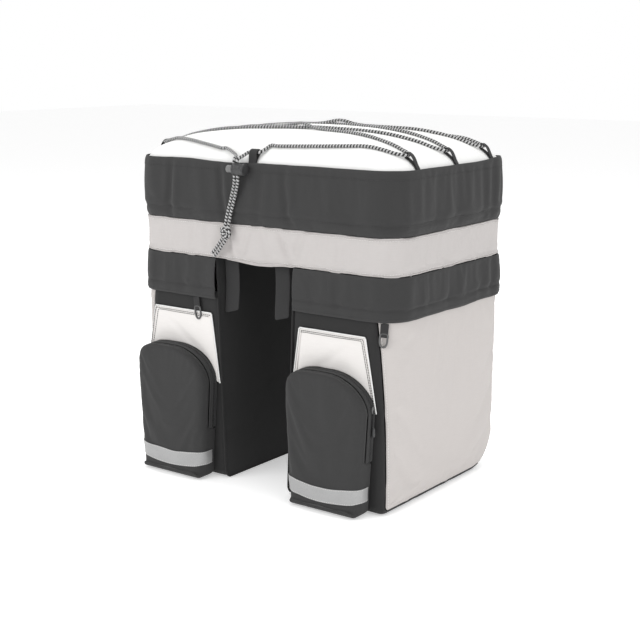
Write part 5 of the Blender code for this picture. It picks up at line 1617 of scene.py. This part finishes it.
def makePocket(word, side, centre):
    stations = pocketStations(side)
    rows, uv, shades, held = [], [], [], []
    lengths = np.concatenate([[0.0], np.cumsum([math.dist(a[:2], b[:2]) for a, b
        in zip(stations, stations[1:])])])
    for station, run in zip(stations, lengths):
        zipped = inZip(station)
        start = wallShare(station, pocket["zipWidth"] + pocket["seam"] if zipped else 0.0003)
        columns = list(np.linspace(start, 1.0, 5)) + list(np.linspace(1.0, 2.0, 9)[1:])
        columns += list(2 + np.linspace(0.0, 1.0, 17)[1:] ** 0.9)
        row, shade, hold, flat = [], [], [], []
        startPoint = pocketPoint(station, start, 0.0, centre)
        reach, before = 0.0, startPoint
        for across in columns:
            point = pocketPoint(station, across, 0.0, centre)
            reach += np.linalg.norm(point - before)
            before = point
            pucker = 0.0007 * ripple(run, 0.024, 31 + side) * math.exp(-reach / 0.010)
            groove = 0.0008 * math.exp(-(reach / 0.0018) ** 2)
            if zipped or station[1] > 0.06:
                groove += 0.0007 * math.exp(-((reach - 0.0062) / 0.0012) ** 2) * float(
                    easeIn(station[1], 0.06, 0.08))
            depth = groove - pucker * float(easeIn(reach, 0.0, 0.003))
            point = pocketPoint(station, across, depth, centre)
            folds = 0.0
            if across > 1.0:
                place = (point[0] - centre) * side
                folds = 0.0012 * ripple(place + 0.15 * point[2], 0.055, 17 + side) \
                    * float(easeIn(across, 1.4, 2.3)) * float(easeIn(point[2], 0.03, 0.06))
                folds -= 0.0022 * math.exp(
                    -((point[2] - 0.020 - 0.25 * (place - 0.02)) / 0.006) ** 2
                    - ((place - 0.036) / 0.014) ** 2)
            row.append(point - np.array([0.0, folds, 0.0]))
            # Seam weight: through the seam tint it paints a highlight along the pocket wall's sewn
            # edge
            shade.append(math.exp(-(reach / 0.0028) ** 2))
            hold.append(1 - float(easeIn(reach, 0.006, 0.020)))
            forward = frontPlane - point[1]
            flat.append((point[0] + station[2] * (pocket["depth"] - forward),
                point[2] + station[3] * (pocket["depth"] - forward)))
        rows.append(row)
        shades.append(shade)
        held.append(hold)
        uv.append(flat)
    uv.append(uv[0])
    grid = mirroredGrid(np.array(rows), side)
    piece = gridMesh("pocket" + word, grid, np.array(uv), wrapRows=True, shade=np.array(shades))
    tidyMesh(piece, (side * centre, frontPlane - 0.008, 0.08), weld=0.00008)
    found = heldByPlace(piece, grid, np.array(held))
    for index, vertex in enumerate(piece.data.vertices):
        if vertex.co.z < pocket["stripFoot"] - 0.005:
            found[index] = max(found[index], 0.7)
    letSettle(piece, found, pocket["slack"], pocket["pressure"], 0.0030, gravity=0.2)
    return piece


def makePocketZip(word, side, centre):
    # Two tapes and their raised edges, with the coil lying between them
    width = pocket["zipWidth"]
    forwards = [0.0003, 0.0008, 0.0014, 0.0024, 0.0042, 0.0048, 0.0054, 0.0062, width / 2,
        width - 0.0062, width - 0.0054, width - 0.0048, width - 0.0042, width - 0.0024,
        width - 0.0014, width - 0.0006, width]
    lifts = [-0.0006, 0.0001, 0.0006, 0.0002, 0.0002, 0.0009, 0.0006, 0.0001, 0.0000,
        0.0001, 0.0006, 0.0009, 0.0002, 0.0002, 0.0006, 0.0001, -0.0006]
    rows, uv = [], []
    stations = [station for station in pocketStations(side) if inZip(station)]
    run = 0.0
    for index, station in enumerate(stations):
        if index:
            run += math.dist(station[:2], stations[index - 1][:2])
        rows.append([pocketPoint(station, wallShare(station, forward), -lift, centre)
            for forward, lift in zip(forwards, lifts)])
        uv.append([(run, forward) for forward in forwards])
    grid = mirroredGrid(np.array(rows), side)
    # Seam weight across the tape: through the seam tint it paints a highlight on its edges and
    # raised ridges
    shade = np.tile([1, .8, .5, .1, 0, .3, 0, 0, 0, 0, 0, .3, 0, .1, .5, .8, 1], (len(rows), 1))
    tape = gridMesh("zipTape" + word, grid, np.array(uv), shade=shade.astype(float))
    tidyMesh(tape, (side * centre, frontPlane - 0.007, 0.08), weld=0.000002)
    dress(tape, "charcoal_cloth", wall=0.0012, levels=1)
    coil = mirroredGrid(np.array([pocketPoint(station, wallShare(station, width / 2), -0.0004,
        centre) for station in stations]), side)
    teeth = rowOfBits("zipTeeth" + word, [coil], coilTree, "black_plastic",
        0.0013, 0.0009, 0.0040, 0.0011)
    return joined("pocketZip" + word, [tape, teeth])


def makePatch(word, side, centre):
    drop, topInner, topOuter, footInner, footOuter = 0.019, 0.051, 0.044, 0.0635, 0.0600
    top = bag["hemLevel"] - drop
    foot = [(footOuter, pocket["spring"])]
    for angle in list(archAngles(24, side)) + list(math.pi - archAngles(24, -side)[::-1][1:]):
        foot.append(archPoint(angle, pocket["seam"], side)[:2])
    foot.append((-footInner, pocket["spring"]))
    rows, uv, shades = [], [], []
    for x, z in foot:
        share = (x + footInner) / (footInner + footOuter)
        topX = mix(-topInner, topOuter, share)
        row, shade = [], []
        for rise in np.linspace(0.0, 1.0, 16):
            placeX, placeZ = mix(x, topX, rise), mix(z, top, rise)
            edge = min(share * 0.11, (1 - share) * 0.11, top - placeZ)
            low = placeZ - z
            sag = 0.0018 * (1 - easeIn(abs(share - 0.5), 0.1, 0.5)) * easeIn(low, 0.0, 0.02) \
                * easeIn(top - placeZ, 0.0, 0.02)
            crease = 0.0012 * math.exp(-((placeX * 0.75 - (placeZ - 0.185)) / 0.006) ** 2) \
                * easeIn(edge, 0.002, 0.02)
            small = 0.0004 * ripple(placeX + placeZ * 0.4, 0.028, 9) * math.exp(-edge / 0.012)
            out = 0.0018 + sag - crease + small - 0.0006 * math.exp(-(edge / 0.002) ** 2)
            row.append((centre + placeX, frontPlane - out, placeZ))
            # Seam weight: through the seam tint it paints shade along the patch's edges
            shade.append(math.exp(-(edge / 0.003) ** 2))
        rows.append(row)
        uv.append([(point[0], point[2]) for point in row])
        shades.append(shade)
    grid = mirroredGrid(np.array(rows), side)
    piece = gridMesh("frontPatch" + word, grid, np.array(uv), shade=np.array(shades))
    tidyMesh(piece, (side * centre, 0.0, 0.19), weld=0.000002)
    dress(piece, "off_white_cloth", wall=0.0012, levels=1)
    # White edging round the patch, and twin rows of dark thread along its top and outer edge
    outer, inner, topEdge = grid[0], grid[-1], grid[:, -1]
    border = np.concatenate([outer, topEdge[1:-1], inner[::-1]])
    edging = dress(tube("patchEdging" + word, resample(border + np.array([0, -0.0004, 0]), 0.003),
        0.0008, sides=8, turnLength=0.002), "white_cloth", levels=0)
    lines = []
    for inset in (0.0026, 0.0046):
        line = [(centre + footOuter - inset * 1.1, pocket["spring"] + 0.012),
            (centre + topOuter - inset * 1.05, top - inset),
            (centre - topInner + inset * 1.2, top - inset)]
        lines.append(resample([(side * x, frontPlane - 0.006, z) for x, z in line], 0.003))
    tree = surfaceTree(piece)
    lines = [ontoSurface(tree, line, 0.0002) for line in lines]
    return piece, edging, lines


pocketPieces = {}
for side, word in ((-1, "Left"), (1, "Right")):
    centre = halfWidth - pocket["inset"] + side * bag["gapShift"]
    low = word.lower()
    pocketPieces[word] = makePocket(word, side, centre)
    keep(makePocketZip(word, side, centre), "charcoal_cloth", "pocket_zip_" + low)
    patch, edging, lines = makePatch(word, side, centre)
    keep(patch, "off_white_cloth", "front_patch_" + low)
    keep(edging, "white_cloth")
    keep(stitches("patchStitches" + word, lines, "darkThread", pitch=0.0030, long=0.0029,
        wide=0.0010), "webbing")
print("pockets and patches laid out")
finishSettling()


# Settled walls get their thickness, and stitches where they are sewn

keep(dress(walls["upper"], "charcoal_cloth", wall=bag["cloth"]), "charcoal_cloth", "upper_band")
keep(dress(walls["middle"], "light_grey_cloth", wall=bag["cloth"]), "light_grey_cloth",
    "middle_band")
for word in ("Left", "Right"):
    low = word.lower()
    keep(dress(walls["lower" + word], "charcoal_cloth", wall=bag["cloth"]), "charcoal_cloth",
        "lower_band_" + low)
    keep(dress(panels[word][0], "warm_grey_cloth", wall=bag["cloth"]), "warm_grey_cloth",
        "side_panel_" + low)
    keep(dress(pocketPieces[word], "charcoal_cloth", wall=bag["cloth"]), "charcoal_cloth",
        "pocket_" + low)


def bandLine(runs, level, out=0.004):
    x, y, across, along = trunkOutline(runs)
    return np.stack([x + across * out, y + along * out, np.full(len(runs), level)], -1)


def closedLine(points):
    return np.concatenate([points, points[:1]])


upperTree, middleTree = surfaceTree(walls["upper"]), surfaceTree(walls["middle"])
fineRuns = np.linspace(-halfOutline, halfOutline, 560, endpoint=False)
upperLines = [closedLine(ontoSurface(upperTree, bandLine(fineRuns, level), 0.0001))
    for level in (bag["greyTop"] + 0.0135, bag["top"] - 0.0105)]
keep(stitches("upperStitches", upperLines, "darkThread"), "webbing")
greyLines = [closedLine(ontoSurface(middleTree, bandLine(fineRuns, level), 0.0001))
    for level in (bag["greyTop"] - 0.0030, bag["floorLevel"] + 0.0030)]
keep(stitches("greyStitches", greyLines, "paleThread", wide=0.00055), "light_grey_cloth")
# Narrow fold of the grey cloth standing out of each seam
foldLines = [ontoSurface(middleTree, bandLine(ringRuns, level), 0.0004)
    for level in (bag["greyTop"] - 0.0002, bag["floorLevel"] + 0.0004)]
folded = [dress(tube("greyFold" + str(index), line, 0.0007, sides=8, closed=True,
    turnLength=0.002), "light_grey_cloth", levels=0) for index, line in enumerate(foldLines)]
keep(joined("greySeamFolds", folded), "light_grey_cloth")
for side, word in ((-1, "Left"), (1, "Right")):
    tree = surfaceTree(walls["lower" + word])
    runs = lowerRuns[word][1:-1]
    lines = [ontoSurface(tree, bandLine(runs, bag["hemLevel"] + 0.0135), 0.0001),
        ontoSurface(tree, bandLine(runs, bag["hemLevel"] + 0.0035), 0.0001)]
    keep(stitches("lowerStitches" + word, lines, "darkThread"), "webbing")
    tree = surfaceTree(panels[word][0])
    line = [point for point in panels[word][1] if point[2] < bag["hemLevel"] - 0.002]
    keep(stitches("sideStitches" + word, [ontoSurface(tree, resample(line, 0.003), 0.0001)],
        "paleThread", wide=0.00055), "warm_grey_cloth")


# Reflective strip laid on each settled pocket, and the pocket's own stitches

def makeReflector(word, side, centre):
    tree = surfaceTree(pocketPieces[word])
    middle = pocket["stripFoot"] + pocket["stripHeight"] / 2
    first = wallShare((0.0, middle, 1.0, 0.0), 0.006)
    path = list(np.linspace(first, 1.0, 5)) + list(np.linspace(1.0, 2.0, 11)[1:]) \
        + list(np.linspace(2.0, 3.0, 12)[1:])
    rows = []
    for half in (1, -1):
        for across in (path if half == 1 else path[:-1][::-1]):
            row = []
            for level in np.linspace(pocket["stripFoot"],
                    pocket["stripFoot"] + pocket["stripHeight"], 9):
                x, z, acrossX, up = pocketSide(level)
                point = pocketPoint((half * x, z, half * acrossX, up), across, -0.003, centre)
                share = (point[0] - centre) / x
                point[2] -= pocket["stripSag"] * (1 - share ** 2)
                row.append(point)
            rows.append(row)
    grid = mirroredGrid(np.array(rows), side)
    shape = grid.shape
    laid = ontoSurface(tree, grid.reshape(-1, 3), 0.0011).reshape(shape)
    laid = (laid + np.roll(laid, 1, 0) + np.roll(laid, -1, 0)) / 3
    laid[0], laid[-1] = ontoSurface(tree, grid[0], 0.0009), ontoSurface(tree, grid[-1], 0.0009)
    lengths = runLengths(laid[:, 0])
    uv = np.stack(np.meshgrid(lengths, np.linspace(0, pocket["stripHeight"], shape[1]),
        indexing="ij"), -1)
    piece = gridMesh("reflector" + word, laid, uv)
    tidyMesh(piece, (side * centre, frontPlane - 0.008, 0.03), weld=0.000002)
    dress(piece, "reflective_tape", wall=0.0006, levels=1)
    lines = [laid[:, 1] * 0.5 + laid[:, 0] * 0.5, laid[:, -1] * 0.5 + laid[:, -2] * 0.5]
    tree = surfaceTree(piece)
    return piece, [ontoSurface(tree, resample(line, 0.003), 0.00005) for line in lines]


for side, word in ((-1, "Left"), (1, "Right")):
    centre = halfWidth - pocket["inset"] + side * bag["gapShift"]
    strip, lines = makeReflector(word, side, centre)
    keep(strip, "reflective_tape", "reflector_" + word.lower())
    keep(stitches("reflectorStitches" + word, lines, "paleThread", pitch=0.003, long=0.0023,
        wide=0.0005), "reflective_tape")
    tree = surfaceTree(pocketPieces[word])
    line = []
    for station in pocketStations(side):
        if station[1] > 0.07:
            edge = wallShare(station, pocket["zipWidth"] + 0.0058)
            line.append(pocketPoint(station, min(edge, 1.2), -0.002, centre))
    line = mirroredGrid(np.array(line), side)
    keep(stitches("pocketStitches" + word, [ontoSurface(tree, resample(line, 0.003), 0.0001)],
        "darkThread", pitch=0.0032, long=0.0025, wide=0.0006), "webbing")
print("strips and stitches made")


# Two straps that hang from under the trunk floor

straps = {"width": 0.022, "length": 0.070, "thickness": 0.0016, "setback": 0.012, "skew": 0.006,
    "places": {"left": -0.050, "right": 0.029}}


def makeStrap(word):
    middle = straps["places"][word]
    top = bag["floorLevel"] - 0.0005
    length = straps["length"] - straps["skew"] / 2
    steps = np.linspace(0.0, 1.0, 26)
    curl = 0.0016 * np.sin(steps * 4.2 + (0.4 if word == "left" else 1.3)) * steps
    path = np.stack([np.full(26, middle) + 0.0008 * np.sin(steps * 3),
        -halfDepth + straps["setback"] + 0.0009 + curl, top - length * steps], -1)
    band = ribbon("strap" + word.title(), path, (1.0, 0.0, 0.0), straps["width"],
        straps["thickness"])
    for vertex in band.data.vertices:
        share = (top - vertex.co.z) / length
        vertex.co.z += straps["skew"] * (vertex.co.x - middle) / straps["width"] \
            * float(easeIn(share, 0.5, 1.0))
    return dress(band, "webbing", levels=1)


for word in ("left", "right"):
    keep(makeStrap(word), "webbing", "strap_" + word)


# Zip pulls: a ribbon tab with a moulded ring at its end, hung from its slider

pulls = {"width": 0.011, "tab": 0.0165, "ring": 0.0150, "bar": 0.00115}


def nodeBox(node):
    # A node's corners, measured from the bag's own middle
    return [np.array(corner) - np.array([0, bag["shift"], 0]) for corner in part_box(node)]


def makePull(name, node, lean, outward, ringFinish):
    low, high = nodeBox(node)
    middle = (low + high) / 2
    outward = np.array(outward, float) / np.linalg.norm(outward)
    down = np.array(lean, float)
    down = down - outward * down.dot(outward)
    down /= np.linalg.norm(down)
    across = np.cross(down, outward)
    full = high[2] - low[2]
    top = middle - down * full / 2
    tabPath = [top + down * share * pulls["tab"] + outward * 0.0005 * math.sin(share * 3)
        for share in np.linspace(0.0, 1.0, 14)]
    tab = dress(ribbon(name + "Tab", tabPath, across, pulls["width"] * 0.86, 0.0014), "webbing",
        levels=1)
    centre = top + down * (pulls["tab"] + pulls["ring"] / 2 - 0.0042)
    angles = np.linspace(0, 2 * math.pi, 40, endpoint=False)
    wide, long = pulls["width"] / 2 - pulls["bar"], (full - pulls["tab"] + 0.0040) / 2 - 0.0008
    ringPath = []
    for angle in angles:
        a, b = math.cos(angle), math.sin(angle)
        squared = 0.55 if b < 0 else 0.8
        taper = 1.0 - 0.12 * b
        ringPath.append(centre + across * math.copysign(abs(a) ** squared, a) * wide * taper
            + down * math.copysign(abs(b) ** squared, b) * long)
    ring = dress(tube(name + "Ring", ringPath, pulls["bar"], sides=10, closed=True), ringFinish,
        levels=0)
    stitchRow = [[top + down * pulls["tab"] * place + across * wide * share * 0.8 + outward * 0.0011
        for share in (-1, -0.3, 0.3, 1)] for place in (0.42, 0.55)]
    sewn = stitches(name + "Sewn", [resample(row, 0.001) for row in stitchRow], "darkThread",
        pitch=0.0018, long=0.0015, wide=0.0005)
    return joined(name, [tab, ring, sewn])


keep(makePull("trunkPull", "trunk_pull", (0, 0, -1), (-1, 0, 0), "greyMetal"), "webbing",
    "trunk_pull")
keep(makePull("pannierPullLeft", "pannier_pull_left", (0.10, 0, -1), (0, -1, 0), "greyMetal"),
    "webbing", "pannier_pull_left")
cornerAngle = math.radians(32.0)
keep(makePull("pannierPullRight", "pannier_pull_right", (-0.05, -0.05, -1),
    (math.sin(cornerAngle), -math.cos(cornerAngle), 0), "greyMetal"), "webbing",
    "pannier_pull_right")


def makePocketPull(word, side):
    # A slider on the coil with a thin doubled cord that ends in a moulded tip
    low, high = nodeBox("pocket_pull_" + word.lower())
    wall = low[0] if side > 0 else high[0]
    out = np.array([side, 0.0, 0.0])
    middleY = (low[1] + high[1]) / 2
    top = np.array([wall, middleY, high[2]])
    outline = [(-0.0042, 0.0012), (-0.0030, 0.0027), (0.0, 0.0031), (0.0036, 0.0024),
        (0.0048, 0.0010)]
    body = []
    for level, half in outline:
        body.append([top + np.array([0, 0, -0.004 - level]) + out * lift
            + np.array([0, wide * half, 0])
            for wide, lift in ((-1, 0.0), (-1, 0.0008), (-0.6, 0.0015), (0.6, 0.0015),
            (1, 0.0008), (1, 0.0))])
    grid = np.array(body)
    centreRows = grid.mean(1, keepdims=True)
    grid = np.concatenate([centreRows[:1].repeat(6, 1), grid, centreRows[-1:].repeat(6, 1)])
    slider = gridMesh("slider" + word, grid, np.zeros((8, 7, 2)), wrapColumns=True)
    tidyMesh(slider, tuple(top - np.array([0, 0, 0.004])), weld=0.000002)
    dress(slider, "greyMetal", levels=1)
    parts = [slider]
    end = low[2] + 0.0095
    for lean in (-1, 1):
        path = [top + out * 0.0016 + np.array([0, lean * 0.0003, -0.0045]),
            top + out * 0.0014 + np.array([0, lean * 0.0011, -0.011]),
            np.array([wall, middleY + lean * 0.0009, mix(top[2], end, 0.7)]) + out * 0.0012,
            np.array([wall, middleY + lean * 0.0006, end - 0.001]) + out * 0.0013]
        strand = tube("strand" + word + str(lean), smoothRoute(path, 0.0015), 0.00075, sides=8)
        parts.append(dress(strand, "webbing", levels=0))
    tip = np.array([wall, middleY, low[2] + 0.0052]) + out * 0.0015
    levels = np.linspace(-0.0050, 0.0050, 11)
    widths = 0.0011 + 0.0013 * np.sqrt(np.clip(1 - (levels / 0.0052) ** 2, 0, 1)) \
        * (1 - 0.25 * easeIn(levels, 0.0, 0.005))
    path = [tip + np.array([0, 0, level]) for level in levels]
    piece = tube("tip" + word, path, np.minimum(widths, 0.0019), sides=12)
    parts.append(dress(piece, "black_plastic", levels=0))
    return joined("pocketPull" + word, parts)


for side, word in ((-1, "Left"), (1, "Right")):
    keep(makePocketPull(word, side), "webbing", "pocket_pull_" + word.lower())
print("straps and pulls made")


# Every piece is hung from the body that carries it, and the solids it stands for are hidden

for piece, slotName, replaced, body in madePieces:
    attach(piece, body)
    if replaced:
        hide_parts(*replaced)

print("pieces:", len(madePieces))
